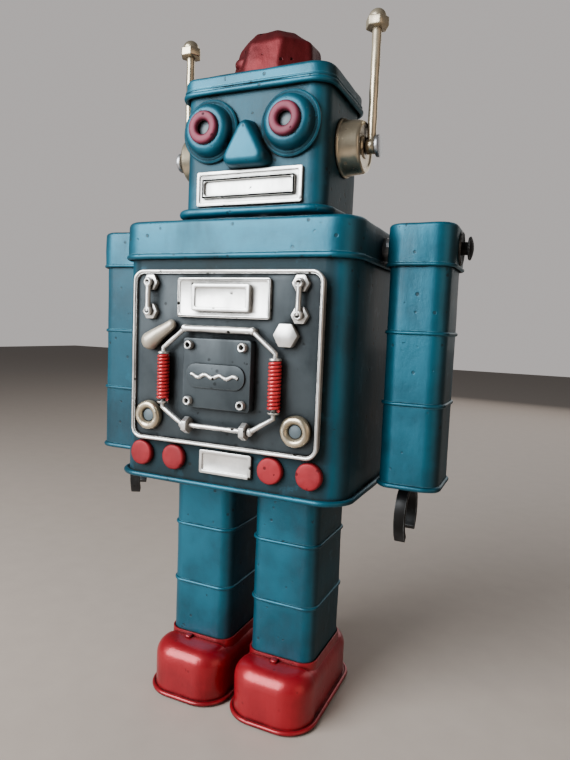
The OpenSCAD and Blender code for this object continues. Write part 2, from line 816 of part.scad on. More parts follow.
module head_base() {
    color(teal) difference() {
        translate([0, 0, head_base_z]) rolled_plate(head_w, head_d, head_r, skin, head_edge_r);
        translate([0, 0, head_base_z - skin]) cylinder(r = bolt_hole_r, h = skin * 3);
    }
}

module head_shell() {
    color(teal) difference() {
        translate([0, 0, head_z]) folded_tube(head_w, head_d, head_r, head_h, [], false, false);
        for (x = [-eye_x, eye_x])
            on_front(x, head_base_z + eye_z, 0) cylinder(r = stem_r + slip, h = head_d);
        translate([0, 0, ear_zz]) rotate([0, 90, 0])
            cylinder(r = pin_r + slip, h = head_w * 2, center = true);
    }
}

module head_lid() {
    color(teal) difference() {
        translate([0, 0, head_top - head_lid_h])
            lid(head_w, head_d, head_r, head_lid_h, head_lid_round, edge_r);
        translate([0, 0, head_lid_z - skin]) cylinder(r = screw_r + slip, h = skin * 3);
    }
}

// Flanged cup with a rounded edge and a hollow in the middle
module eye_cups() {
    flange_t = 1.6;
    round_r = 3.4;
    dome_r = eye_dome_d / 2;
    well_r = eye_ring_d / 2 - 2.6;
    color(teal) for (x = [-eye_x, eye_x])
        on_front(x, head_base_z + eye_z, face_y) rotate_extrude() {
            difference() {
                union() {
                    square([eye_flange_d / 2, flange_t]);
                    square([dome_r, eye_dome_h - round_r]);
                    square([dome_r - round_r, eye_dome_h]);
                    translate([dome_r - round_r, eye_dome_h - round_r]) circle(round_r);
                }
                translate([0, flange_t]) square([well_r, eye_dome_h]);
                square([stem_r + slip, eye_dome_h]);
            }
            translate([eye_flange_d / 2 - flange_t / 2, flange_t]) circle(flange_t / 3, $fn = fine_fn);
        }
}

module eye_rings() {
    well_r = eye_ring_d / 2 - 3.4;
    half = (eye_ring_d / 2 - well_r) / 2;
    ring_t = 1.2;
    color(red) for (x = [-eye_x, eye_x])
        on_front(x, head_base_z + eye_z, face_y - eye_dome_h) rotate_extrude() {
            translate([well_r, 0]) square([half * 2, ring_t]);
            translate([well_r + ring_t, 0]) square([half * 2 - 2 * ring_t, ring_t * 2]);
            translate([well_r + ring_t, ring_t]) circle(ring_t, $fn = fine_fn);
            translate([well_r + 2 * half - ring_t, ring_t]) circle(ring_t, $fn = fine_fn);
        }
}

// Rivets whose broad heads show grey inside the eyes
module eye_rivets() {
    rivet_r = 3.6;
    color(steel) for (x = [-eye_x, eye_x]) on_front(x, head_base_z + eye_z, face_y) {
        translate([0, 0, -stem_len]) cylinder(r = stem_r, h = stem_len + eye_dome_h / 2);
        translate([0, 0, 1.6]) cylinder(r = rivet_r, h = eye_dome_h - 2.6);
    }
}

// Three-cornered nose, narrower in front
module nose() {
    corner = 2.6;
    color(teal) on_front(0, head_base_z + nose_z, face_y) hull() {
        for (p = [[nose_w / 2 - corner, corner], [corner - nose_w / 2, corner], [0, nose_h - corner]]) {
            translate(p) cylinder(r = corner, h = 1, $fn = hull_fn);
            translate([p[0] * 0.62, 1.5 + p[1] * 0.8, nose_out - corner]) sphere(corner, $fn = hull_fn);
        }
    }
}

// Framed plate with a long shallow slot
module mouth_plate() {
    plate_t = 1.2;
    lip_t = 2.4;
    slot_w = mouth_w - 10;
    slot_h = mouth_h - 10.4;
    lip = 1.6;
    color(silver) on_front(0, head_base_z + mouth_z, face_y) {
        difference() {
            linear_extrude(plate_t + skin / 2) rrect(mouth_w, mouth_h, skin);
            translate([0, 0, plate_t])
                linear_extrude(skin) rrect(mouth_w - 2 * lip, mouth_h - 2 * lip, skin / 2);
        }
        difference() {
            linear_extrude(lip_t) rrect(slot_w + 2 * lip, slot_h + 2 * lip, skin * 1.5);
            translate([0, 0, skin / 2]) linear_extrude(lip_t) rrect(slot_w, slot_h, skin / 2);
        }
    }
}

// Round drums on a flange, slightly narrower outside and hollow in the outer face
module ear_drums() {
    drum_r = ear_d / 2;
    color(champagne) for (s = [0, 1]) mirror([s, 0, 0])
        translate([ear_side, 0, ear_zz]) rotate([0, 90, 0]) rotate_extrude() difference() {
            union() {
                square([ear_flange_r, ear_flange_t]);
                polygon([[0, 0], [drum_r + skin, 0], [drum_r, ear_out - skin], [drum_r - skin, ear_out],
                    [0, ear_out]]);
            }
            square([pin_r + slip, ear_out * 2]);
            translate([drum_r * 0.4, ear_out - skin / 2]) square([drum_r * 0.4, skin]);
        }
}

module ear_pins() {
    out = rod_x + rod_r + air - ear_side;
    color(steel) for (s = [0, 1]) mirror([s, 0, 0])
        translate([ear_side, 0, ear_zz]) rotate([0, 90, 0]) {
            translate([0, 0, -ear_pin_back]) cylinder(r = pin_r, h = ear_pin_back + out + skin);
            translate([0, 0, out]) cylinder(r = ear_pin_head_r, h = ear_pin_head_t);
            translate([0, 0, -ear_pin_back]) cylinder(r = pin_r * 2, h = ear_pin_back - skin);
        }
}

// Rod with an eye at its foot that turns on the ear pin
module antenna(len) {
    color(champagne) difference() {
        union() {
            translate([rod_x, 0, ear_zz]) cylinder(r = rod_r, h = len + acorn_bore, $fn = fine_fn);
            translate([rod_x, 0, ear_zz]) rotate([0, 90, 0])
                cylinder(r = eye_end_r, h = rod_d - lap, center = true);
        }
        translate([rod_x, 0, ear_zz]) rotate([0, 90, 0])
            cylinder(r = pin_r + slip, h = rod_d * 3, center = true);
    }
}

module acorn_nut(len) {
    color(champagne) translate([rod_x, 0, ear_zz + len]) difference() {
        union() {
            intersection() {
                hexagon(acorn_r, acorn_hex_h);
                rotate_extrude() polygon([[0, 0], [acorn_r * 0.9, 0], [acorn_r * 1.02, acorn_hex_h * 0.16],
                    [acorn_r * 1.02, acorn_hex_h * 0.84], [acorn_r * 0.9, acorn_hex_h], [0, acorn_hex_h]]);
            }
            translate([0, 0, acorn_hex_h]) sphere(acorn_dome_r);
        }
        translate([0, 0, -skin]) cylinder(r = rod_r + slip, h = acorn_bore + skin, $fn = fine_fn);
    }
}

// Eight-sided lamp housing in three tiers, held by a stud through the head lid
module beacon() {
    tier_1 = 0.42 * beacon_h;
    tier_2 = 0.74 * beacon_h;
    side_1 = 0.94;
    side_2 = 0.88;
    side_3 = 0.46;
    color(red) translate([0, 0, head_top]) {
        hull() {
            linear_extrude(eps) beacon_outline(1);
            translate([0, 0, tier_1]) linear_extrude(eps) beacon_outline(side_1);
        }
        hull() {
            translate([0, 0, tier_1]) linear_extrude(eps) beacon_outline(side_1);
            translate([0, 0, tier_2]) linear_extrude(eps) beacon_outline(side_2);
        }
        hull() {
            translate([0, 0, tier_2]) linear_extrude(eps) beacon_outline(side_2);
            translate([0, 0, beacon_h - eps]) linear_extrude(eps) beacon_outline(side_3);
        }
        translate([0, 0, -stem_len]) cylinder(r = screw_r, h = stem_len + skin);
    }
}

// Eight-sided outline of the beacon at a fraction of its full size
module beacon_outline(s) {
    w = beacon_w / 2 * s;
    d = beacon_d / 2 * s;
    c = 0.5;
    polygon([[w, d * c], [w * c, d], [-w * c, d], [-w, d * c],
        [-w, -d * c], [-w * c, -d], [w * c, -d], [w, -d * c]]);
}

// ---- Legs and shoes ----

module leg_shell() {
    color(teal) difference() {
        translate([leg_x, 0, leg_z])
            folded_tube(leg_w, leg_d, leg_r, leg_h, [rib_low, rib_high], true, true);
        for (y = [-leg_bolt_y, leg_bolt_y])
            translate([leg_x, y, stance_h - skin * 2]) cylinder(r = bolt_hole_r, h = skin * 3);
        translate([leg_x, 0, leg_z - skin]) cylinder(r = screw_r + slip, h = skin * 3);
    }
}

module shoe_outline(inset) {
    translate([0, shoe_y]) rrect(shoe_w - 2 * inset, shoe_d - 2 * inset, shoe_r - inset);
}

// Shoe upper with a rounded top edge and an upright collar round the leg
module shoe_upper(inset) {
    top = shoe_h - inset;
    difference() {
        union() {
            translate([0, shoe_y, 0]) sweep(shoe_w - 2 * inset, shoe_d - 2 * inset, shoe_r - inset) {
                translate([-skin, 0]) square([skin, top - shoe_round]);
                translate([-shoe_round, top - shoe_round]) intersection() {
                    difference() {
                        circle(shoe_round);
                        circle(shoe_round - skin);
                    }
                    square(shoe_round);
                }
            }
            translate([0, 0, top - skin]) linear_extrude(skin) shoe_outline(inset + shoe_round - eps);
            linear_extrude(shoe_h + shoe_lip) intersection() {
                rrect(collar_w, collar_d, collar_r);
                shoe_outline(inset + skin / 2);
            }
        }
        translate([0, 0, -skin]) linear_extrude(shoe_h * 2)
            rrect(collar_w - 2 * skin, collar_d - 2 * skin, collar_r - skin);
        translate([0, 0, -skin]) linear_extrude(top - skin)
            difference() {
                shoe_outline(shoe_round);
                rrect(collar_w, collar_d, collar_r);
            }
    }
}

// Front half
module shoe_toe() {
    color(red) translate([leg_x, 0, sole_t]) intersection() {
        shoe_upper(0);
        translate([-shoe_w, -shoe_seam - shoe_d, 0]) cube([shoe_w * 2, shoe_d, shoe_h * 2]);
    }
}

// Back half, tucked inside the front half by half a sheet, with a tab folded forward over the toe
module shoe_heel(tab_at) {
    color(red) translate([leg_x, 0, sole_t]) {
        intersection() {
            shoe_upper(skin / 2);
            translate([-shoe_w, -shoe_seam, 0]) cube([shoe_w * 2, shoe_d, shoe_h * 2]);
        }
        translate([tab_at - tab_w / 2, -collar_d / 2 - tab_out, shoe_h + lap])
            cube([tab_w, tab_out + skin, tab_t]);
    }
}

// Sole with a rolled edge and a countersunk hole for its screw
module shoe_sole() {
    w = shoe_w + sole_edge;
    d = shoe_d + sole_edge;
    r = shoe_r + sole_edge / 2;
    color(red) difference() {
        translate([leg_x, shoe_y, 0]) {
            linear_extrude(sole_t) rrect(w, d, r);
            sweep(w, d, r) translate([sole_out, sole_edge + eps]) circle(sole_edge, $fn = fine_fn);
        }
        translate([leg_x, 0, -skin]) cylinder(r = screw_r + slip, h = sole_t * 2);
        translate([leg_x, 0, -screw_head_h]) cylinder(r = screw_head_r + lap, h = 2 * screw_head_h + lap);
    }
}

placed() torso_shell();
placed() torso_lid();
placed() torso_base();
placed() panel_plate();
placed() panel_rim();
placed() meter_plate();
placed() lower_frame();
placed() handle_bars();
placed() cone_knob();
placed() box_cover();
placed() box_tubes();
placed() oval_plate();
placed() wave_strip();
placed() loop_top();
placed() loop_bottom();
placed() springs();
placed() ring_knobs();
placed() buttons();
placed() small_nuts();
placed() large_nuts();
placed() hex_bolts();
placed() flat_screws();
placed() shoulder_axle();
placed() shoulder_spacers();
placed() mirror([1, 0, 0]) arm_shell(arm_ribs_l);  // arm_shell_l
placed() arm_shell(arm_ribs_r);  // arm_shell_r
placed() mirror([1, 0, 0]) arm_cap();  // arm_cap_l
placed() arm_cap();  // arm_cap_r
placed() mirror([1, 0, 0]) arm_end(0);  // arm_end_l
placed() arm_end(hand_shift);  // arm_end_r
placed() mirror([1, 0, 0]) arm_washer();  // arm_washer_l
placed() arm_washer();  // arm_washer_r
placed() mirror([1, 0, 0]) hand(-hand_turn, 0);  // hand_l
placed() hand(0, hand_shift);  // hand_r
placed() neck_spacer();
placed() head_base();
placed() head_shell();
placed() head_lid();
placed() eye_cups();
placed() eye_rings();
placed() eye_rivets();
placed() nose();
placed() mouth_plate();
placed() ear_drums();
placed() ear_pins();
placed() mirror([1, 0, 0]) antenna(rod_len_l);  // antenna_l
placed() antenna(rod_len_r);  // antenna_r
placed() mirror([1, 0, 0]) acorn_nut(rod_len_l);  // acorn_nut_l
placed() acorn_nut(rod_len_r);  // acorn_nut_r
placed() beacon();
placed() mirror([1, 0, 0]) leg_shell();  // leg_shell_l
placed() leg_shell();  // leg_shell_r
placed() mirror([1, 0, 0]) shoe_toe();  // shoe_toe_l
placed() shoe_toe();  // shoe_toe_r
placed() mirror([1, 0, 0]) shoe_heel(tab_at_l);  // shoe_heel_l
placed() shoe_heel(tab_at_r);  // shoe_heel_r
placed() mirror([1, 0, 0]) shoe_sole();  // shoe_sole_l
placed() shoe_sole();  // shoe_sole_r
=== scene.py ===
"""Toy robot of painted sheet metal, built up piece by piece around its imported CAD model. Metres, +Z up."""

import json
from functools import partial
from math import cos, pi, radians, sin

import bmesh
import bpy
from mathutils import Matrix, Vector

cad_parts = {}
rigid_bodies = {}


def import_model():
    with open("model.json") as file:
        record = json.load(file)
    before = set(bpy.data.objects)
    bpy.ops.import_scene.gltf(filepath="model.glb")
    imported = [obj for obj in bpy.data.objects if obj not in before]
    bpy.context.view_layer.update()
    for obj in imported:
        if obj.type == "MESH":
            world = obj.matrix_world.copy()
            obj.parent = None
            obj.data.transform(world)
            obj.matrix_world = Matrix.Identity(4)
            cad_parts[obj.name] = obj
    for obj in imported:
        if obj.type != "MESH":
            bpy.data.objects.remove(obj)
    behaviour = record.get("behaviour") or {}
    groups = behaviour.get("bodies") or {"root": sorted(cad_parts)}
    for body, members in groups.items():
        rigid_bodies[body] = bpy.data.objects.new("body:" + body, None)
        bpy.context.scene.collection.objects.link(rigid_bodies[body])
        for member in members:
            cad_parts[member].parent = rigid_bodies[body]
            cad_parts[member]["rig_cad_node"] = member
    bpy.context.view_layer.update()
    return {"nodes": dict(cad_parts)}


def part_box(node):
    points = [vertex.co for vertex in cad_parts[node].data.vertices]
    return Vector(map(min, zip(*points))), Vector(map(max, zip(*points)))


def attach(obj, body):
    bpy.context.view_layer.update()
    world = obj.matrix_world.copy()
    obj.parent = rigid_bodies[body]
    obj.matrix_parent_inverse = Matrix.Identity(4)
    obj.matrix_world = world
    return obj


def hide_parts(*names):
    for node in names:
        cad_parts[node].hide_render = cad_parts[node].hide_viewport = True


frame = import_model()

# ---- Floor, light and camera ----
# A plain pale table top, one big soft window high on the left, a weak warm fill light on the right
# and a light on the wall behind. The camera stands close in front, to the robot's left, level with its chest.

MM = 0.001
axis_y = sum(corner.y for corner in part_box("torso_shell")) / 2


def add_node(tree, kind, inputs=None, **settings):
    """Adds a node; an input is given a value, or a socket to be linked from."""
    made = tree.nodes.new(kind)
    for name, value in settings.items():
        setattr(made, name, value)
    for key, value in (inputs or {}).items():
        if isinstance(value, bpy.types.NodeSocket):
            tree.links.new(value, made.inputs[key])
        else:
            made.inputs[key].default_value = value
    return made


def mixed(tree, amount, first, second, kind="MIX"):
    """Colour that goes from first to second as amount goes from 0 to 1."""
    return add_node(tree, "ShaderNodeMix", {0: amount, 6: first, 7: second}, data_type="RGBA",
                    blend_type=kind).outputs[2]


def calculated(tree, operation, first, second=0.0):
    """One step of arithmetic, kept between 0 and 1."""
    return add_node(tree, "ShaderNodeMath", {0: first, 1: second}, operation=operation,
                    use_clamp=True).outputs[0]


def stretched(tree, value, low, high):
    """Mask that is 0 below low and 1 above high."""
    return add_node(tree, "ShaderNodeMapRange", {"Value": value, "From Min": low, "From Max": high},
                    interpolation_type="SMOOTHSTEP").outputs[0]


def noise(tree, place, scale, detail=3.0, roughness=0.55):
    return add_node(tree, "ShaderNodeTexNoise", {"Vector": place, "Scale": scale, "Detail": detail,
                                                 "Roughness": roughness}).outputs["Fac"]


def new_material(name):
    material = bpy.data.materials.new(name)
    material.use_nodes = True
    material.node_tree.nodes.clear()
    return material, material.node_tree


table_paint, tree = new_material("pale_table")
grain = noise(tree, add_node(tree, "ShaderNodeTexCoord").outputs["Object"], 60.0)
tone = mixed(tree, grain, (0.37, 0.31, 0.265, 1), (0.42, 0.355, 0.305, 1))
table_gap = 0.4 * MM
surface = add_node(tree, "ShaderNodeBsdfPrincipled", {"Base Color": tone, "Roughness": 0.55})
add_node(tree, "ShaderNodeOutputMaterial", {"Surface": surface.outputs[0]})

bpy.ops.object.select_all(action="DESELECT")
bpy.ops.mesh.primitive_plane_add(size=6.0, location=(0, 0, -table_gap))
table = bpy.context.object
table.name = "table_top"
table.data.materials.append(table_paint)

world = bpy.data.worlds.new("studio")
world.use_nodes = True
tree = world.node_tree
tree.nodes.clear()
seen = add_node(tree, "ShaderNodeBackground", {"Color": (0.70, 0.66, 0.645, 1), "Strength": 0.74})
cast = add_node(tree, "ShaderNodeBackground", {"Color": (0.80, 0.79, 0.80, 1), "Strength": 0.17})
to_camera = add_node(tree, "ShaderNodeLightPath").outputs["Is Camera Ray"]
shown = add_node(tree, "ShaderNodeMixShader", {0: to_camera, 1: cast.outputs[0], 2: seen.outputs[0]})
add_node(tree, "ShaderNodeOutputWorld", {"Surface": shown.outputs[0]})
bpy.context.scene.world = world
chest = Vector((0, axis_y, 0.2))


def soft_light(name, place, width, height, power, tint):
    """Soft light that faces the robot's chest."""
    bpy.ops.object.light_add(type="AREA", location=place)
    light = bpy.context.object
    light.name = name
    light.data.shape = "RECTANGLE"
    light.data.size = width
    light.data.size_y = height
    light.data.energy = power
    light.data.color = tint
    light.rotation_euler = (chest - Vector(place)).to_track_quat("-Z", "Y").to_euler()


soft_light("window", (-0.44, -0.72, 0.58), 0.70, 0.75, 25.0, (0.93, 0.97, 1.0))
soft_light("room", (0.9, -0.35, 0.40), 0.7, 0.7, 1.6, (1.0, 0.76, 0.56))
soft_light("back_wall", (0.2, 1.3, 0.7), 1.2, 1.2, 6.0, (1.0, 0.97, 0.94))

bpy.ops.object.camera_add()
camera = bpy.context.object
camera.data.lens = 27.96
camera.data.sensor_width = 36.0
camera.data.clip_start = 0.01
stand = Vector((0.1384, axis_y - 0.2839, 0.1945))
turn, dip, roll = 0.42, 0.09, 0.04
camera.matrix_world = (Matrix.Translation(stand) @ Matrix.Rotation(turn, 4, "Z")
                       @ Matrix.Rotation(pi / 2 - dip, 4, "X") @ Matrix.Rotation(roll, 4, "Z"))
bpy.context.scene.camera = camera

# ---- Soles ----
# Flat steel plates under the shoes, cut to the shoe's outline with the edge rolled over into a bead.
# One screw holds each to its leg. They get the same glossy red enamel as the shoes.


def aged_paint_group():
    """Brushed paint with a dark glaze in the corners that is partly painted shade, painted shade on faces
    turned +X and on some fronts, worn edges, small pits and chips.
    """
    group = bpy.data.node_groups.new("aged_paint", "ShaderNodeTree")
    for name, kind, value in (
            ("Paint", "NodeSocketColor", (0.1, 0.1, 0.1, 1)),
            ("Glaze", "NodeSocketColor", (0.01, 0.009, 0.008, 1)),
            ("Worn", "NodeSocketColor", (0.5, 0.5, 0.5, 1)),
            ("Glaze Amount", "NodeSocketFloat", 0.8),
            ("Glaze Reach", "NodeSocketFloat", 0.005),
            ("Stain", "NodeSocketFloat", 0.3),
            ("Front Glaze", "NodeSocketFloat", 0.0),
            ("Side Glaze", "NodeSocketFloat", 0.0),
            ("Edge Wear", "NodeSocketFloat", 0.6),
            ("Pits", "NodeSocketFloat", 0.6),
            ("Roughness", "NodeSocketFloat", 0.35)):
        group.interface.new_socket(name, in_out="INPUT", socket_type=kind).default_value = value
    for name, kind in (("Color", "NodeSocketColor"), ("Roughness", "NodeSocketFloat"),
                       ("Height", "NodeSocketFloat"), ("Cover", "NodeSocketFloat")):
        group.interface.new_socket(name, in_out="OUTPUT", socket_type=kind)
    given = group.nodes.new("NodeGroupInput").outputs
    times, plus, minus, larger = (partial(calculated, group, kind)
                                  for kind in ("MULTIPLY", "ADD", "SUBTRACT", "MAXIMUM"))
    place = add_node(group, "ShaderNodeTexCoord").outputs["Object"]
    drawn_out = add_node(group, "ShaderNodeMapping", {"Vector": place, "Scale": (1.0, 1.0, 0.3)}).outputs[0]
    # broad clouds and brush streaks in the paint
    clouds = noise(group, place, 38.0, 4.0)
    streaks = noise(group, drawn_out, 420.0, 2.0)
    fine = noise(group, place, 900.0, 2.0)
    darker = mixed(group, 0.42, given["Paint"], given["Glaze"])
    lighter = mixed(group, 0.06, given["Paint"], given["Worn"])
    body = mixed(group, stretched(group, clouds, 0.30, 0.66), darker, lighter)
    body = mixed(group, times(stretched(group, streaks, 0.35, 0.75), 0.22), body, lighter)
    # dark glaze, partly painted shade, wiped off the open faces and left in corners and round raised pieces
    open_sky = add_node(group, "ShaderNodeAmbientOcclusion", {"Distance": given["Glaze Reach"]},
                        samples=6).outputs["AO"]
    corner = minus(1.0, open_sky)
    patchy = stretched(group, noise(group, place, 120.0, 4.0, 0.65), 0.25, 0.7)
    corner = times(stretched(group, corner, 0.12, 0.62), plus(patchy, 0.45))
    stain = stretched(group, noise(group, drawn_out, 26.0, 5.0, 0.6), 0.52, 0.78)
    stain = times(stain, given["Stain"])
    glaze = larger(times(corner, given["Glaze Amount"]), stain)
    # thick dark colour on some fronts, glaze on some pieces and painted shade on others, and painted shade on
    # the sides that face +X
    faces = add_node(group, "ShaderNodeTexCoord").outputs["Normal"]
    facing = add_node(group, "ShaderNodeSeparateXYZ", {0: faces}).outputs
    front = stretched(group, times(facing["Y"], -1.0), 0.80, 0.99)
    side = stretched(group, facing["X"], 0.60, 0.97)
    thick = larger(times(front, given["Front Glaze"]), times(side, given["Side Glaze"]))
    thick = times(thick, plus(patchy, 0.70))
    glaze = larger(glaze, thick)
    colour = mixed(group, glaze, body, given["Glaze"])
    # edges rubbed bright
    rounded = add_node(group, "ShaderNodeBevel", {"Radius": 0.0007}, samples=4).outputs[0]
    faced = add_node(group, "ShaderNodeNewGeometry").outputs["Normal"]
    turn = add_node(group, "ShaderNodeVectorMath", {0: rounded, 1: faced},
                    operation="DOT_PRODUCT").outputs["Value"]
    edge = stretched(group, minus(1.0, turn), 0.03, 0.22)
    edge = times(edge, stretched(group, noise(group, place, 260.0, 3.0), 0.36, 0.56))
    edge = times(edge, times(open_sky, given["Edge Wear"]))
    colour = mixed(group, edge, colour, given["Worn"])
    # pin-sized pits and a few larger chips that show the dark primer
    cells = add_node(group, "ShaderNodeTexVoronoi", {"Vector": place, "Scale": 190.0}).outputs["Distance"]
    speck = minus(1.0, stretched(group, cells, 0.12, 0.20))
    rare = stretched(group, noise(group, place, 70.0, 2.0), 0.51, 0.58)
    chip = stretched(group, noise(group, place, 150.0, 3.0, 0.7), 0.690, 0.715)
    hole = larger(times(speck, rare), chip)
    hole = times(hole, given["Pits"])
    colour = mixed(group, hole, colour, given["Glaze"])
    # surface
    gloss = plus(given["Roughness"], times(clouds, 0.16))
    gloss = plus(minus(gloss, 0.08), times(glaze, 0.25))
    height = plus(times(clouds, 0.55), times(fine, 0.05))
    height = plus(height, times(streaks, 0.10))
    height = minus(height, times(hole, 0.30))
    cover = minus(1.0, larger(glaze, hole))
    add_node(group, "NodeGroupOutput",
             {"Color": colour, "Roughness": gloss, "Height": height, "Cover": cover})
    return group


aged_paint = aged_paint_group()


def painted(name, metallic=0.0, coat=0.0, bump=0.0006, **values):
    """Material of aged paint; metallic paint keeps its metal, and any paint its shine, only where no glaze,
    painted shade or pit covers it.
    """
    material, tree = new_material(name)
    aged = add_node(tree, "ShaderNodeGroup", node_tree=aged_paint)
    for key, value in values.items():
        aged.inputs[key.replace("_", " ").title()].default_value = value
    shape = add_node(tree, "ShaderNodeBump", {"Height": aged.outputs["Height"], "Distance": bump,
                                              "Strength": 0.8}).outputs[0]
    surface = add_node(tree, "ShaderNodeBsdfPrincipled", {
        "Base Color": aged.outputs["Color"], "Roughness": aged.outputs["Roughness"], "Normal": shape,
        "Specular IOR Level": calculated(tree, "MULTIPLY", aged.outputs["Cover"], 0.5),
        "Coat Weight": coat, "Coat Roughness": 0.12})
    if metallic:
        shine = calculated(tree, "MULTIPLY", aged.outputs["Cover"], metallic)
        tree.links.new(shine, surface.inputs["Metallic"])
    add_node(tree, "ShaderNodeOutputMaterial", {"Surface": surface.outputs[0]})
    return material


# The side value paints a little shade on faces turned +X.
red_enamel = painted("red_enamel", metallic=0.40, coat=0.16, bump=0.0009, paint=(0.32, 0.0004, 0.0090, 1),
                     glaze=(0.016, 0.003, 0.003, 1), worn=(0.60, 0.10, 0.10, 1), glaze_amount=0.95,
                     glaze_reach=0.006, stain=0.30, side_glaze=0.15, edge_wear=0.20, pits=0.35,
                     roughness=0.33)


def chosen(*pieces):
    """Selects these pieces alone, with the first one active."""
    bpy.ops.object.select_all(action="DESELECT")
    for piece in pieces:
        piece.select_set(True)
    if pieces:
        bpy.context.view_layer.objects.active = pieces[0]


def settled(name):
    """Names the new piece and moves its place into its mesh."""
    bpy.ops.object.transform_apply()
    piece = bpy.context.object
    piece.name = name
    return piece


def all_picked():
    bpy.ops.mesh.select_all(action="SELECT")


def pick(kind, test):
    """In edit mode, selects the edges or faces whose middle and direction, or normal, pass the test."""
    bpy.ops.mesh.select_mode(type=kind)
    bpy.ops.mesh.select_all(action="DESELECT")
    data = bpy.context.object.data
    mesh = bmesh.from_edit_mesh(data)
    if kind == "FACE":
        for face in mesh.faces:
            face.select_set(test(face.calc_center_median(), face.normal))
    elif kind == "EDGE":
        for edge in mesh.edges:
            first, second = (v.co for v in edge.verts)
            edge.select_set(test((first + second) / 2, (second - first).normalized()))
    else:
        for vert in mesh.verts:
            vert.select_set(test(vert.co))
    mesh.select_flush_mode()
    bmesh.update_edit_mesh(data)


def edit_mode(on=True):
    bpy.ops.object.mode_set(mode="EDIT" if on else "OBJECT")


def cut_out(test):
    """In edit mode, removes the faces that pass the test."""
    pick("FACE", test)
    bpy.ops.mesh.delete(type="FACE")


def rounded_block(name, low, high, corner, steps=10):
    """Block between two corners with its upright edges rounded, left in edit mode."""
    chosen()
    low, high = Vector(low), Vector(high)
    bpy.ops.mesh.primitive_cube_add(size=1.0, location=(low + high) / 2, scale=high - low)
    piece = settled(name)
    edit_mode()
    pick("EDGE", lambda middle, way: abs(way.z) > 0.99)
    bpy.ops.mesh.bevel(offset=corner, segments=steps, affect="EDGES")
    return piece


def thickened(thick, steps, caps=False):
    """Turns the chain of edges that was just made into a round wire."""
    bpy.ops.object.convert(target="CURVE")
    wire = bpy.context.object.data
    wire.bevel_depth = thick
    wire.bevel_resolution = steps
    wire.use_fill_caps = caps
    bpy.ops.object.convert(target="MESH")
    return bpy.context.object


def wire_ring(name, width, depth, corner, thick, place, tilt=0.0):
    """Bead: round wire bent into a rounded rectangle about a place."""
    chosen()
    bpy.ops.mesh.primitive_plane_add(size=1.0, location=(0, 0, 0))
    edit_mode()
    bpy.ops.mesh.select_mode(type="VERT")
    all_picked()
    bpy.ops.transform.resize(value=(width, depth, 1))
    bpy.ops.mesh.bevel(offset=corner, segments=10, affect="VERTICES")
    all_picked()
    bpy.ops.mesh.subdivide(number_cuts=1)
    bpy.ops.mesh.delete(type="ONLY_FACE")
    edit_mode(False)
    piece = thickened(thick, 3)
    piece.rotation_euler = (tilt, 0, 0)
    piece.location = place
    return settled(name)


def modified(piece, kind, **values):
    """Adds a modifier with these values and applies it."""
    modifier = piece.modifiers.new(kind.lower(), kind)
    for key, value in values.items():
        setattr(modifier, key, value)
    chosen(piece)
    bpy.ops.object.modifier_apply(modifier=modifier.name)


def joined(*pieces, name=None):
    """One piece made of several, with the first one's name unless another is given."""
    chosen(*pieces)
    bpy.ops.object.join()
    pieces[0].name = name or pieces[0].name
    return pieces[0]


def fitted(piece, material, slot, body, *nodes, smooth=40.0):
    """Last step of each piece: smooth shading, material, and its place among the CAD nodes."""
    chosen(piece)
    bpy.ops.object.transform_apply()
    bpy.ops.object.shade_smooth_by_angle(angle=radians(smooth))
    piece.data.materials.clear()
    piece.data.materials.append(material)
    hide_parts(*nodes)
    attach(piece, body)


def dented(piece, depth, size):
    """Pushes a sheet in and out a little, as hand work leaves it."""
    clouds = bpy.data.textures.new(piece.name + "_dents", "CLOUDS")
    clouds.noise_scale = size
    clouds.noise_depth = 1
    modified(piece, "DISPLACE", texture=clouds, texture_coords="LOCAL", strength=depth, mid_level=0.5)


def softened(piece, width, steps=2):
    """Rounds every sharp edge of a piece a little."""
    modified(piece, "BEVEL", width=width, segments=steps, limit_method="ANGLE", angle_limit=radians(35.0),
             use_clamp_overlap=True)


SIDES = (("l", -1, "left"), ("r", 1, "right"))
sole_bead = 1.2 * MM
for side, sign, word in SIDES:
    low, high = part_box(f"shoe_sole_{side}")
    reach = Vector((sole_bead + 0.3 * MM, sole_bead + 0.3 * MM, 0))
    plate_top = Vector((high.x, high.y, low.z + 2.2 * MM))
    plate = rounded_block(f"sole_{word}", low + reach, plate_top - reach, 14.7 * MM)
    edit_mode(False)
    size = high - low
    bead = wire_ring("bead", size.x - 2 * sole_bead, size.y - 2 * sole_bead, 15 * MM, sole_bead,
                     ((low.x + high.x) / 2, (low.y + high.y) / 2, low.z + sole_bead))
    fitted(joined(plate, bead), red_enamel, "red_paint", "torso", f"shoe_sole_{side}")

# ---- Shoes ----
# Each shoe is pressed from thin steel in two halves, a round toe that laps over the heel half.
# The heel half has a collar round the leg and a tab folded forward over the toe. Glossy red enamel.


def bisected(positions, axis):
    """In edit mode, cuts the whole mesh across an axis at each of these positions."""
    way = [(1, 0, 0), (0, 1, 0), (0, 0, 1)][axis]
    for position in positions:
        all_picked()
        bpy.ops.mesh.bisect(plane_co=[position * c for c in way], plane_no=way)


def between(low, high, count):
    """Evenly spread places strictly between two others."""
    return [low + (high - low) * (k + 1) / (count + 1) for k in range(count)]


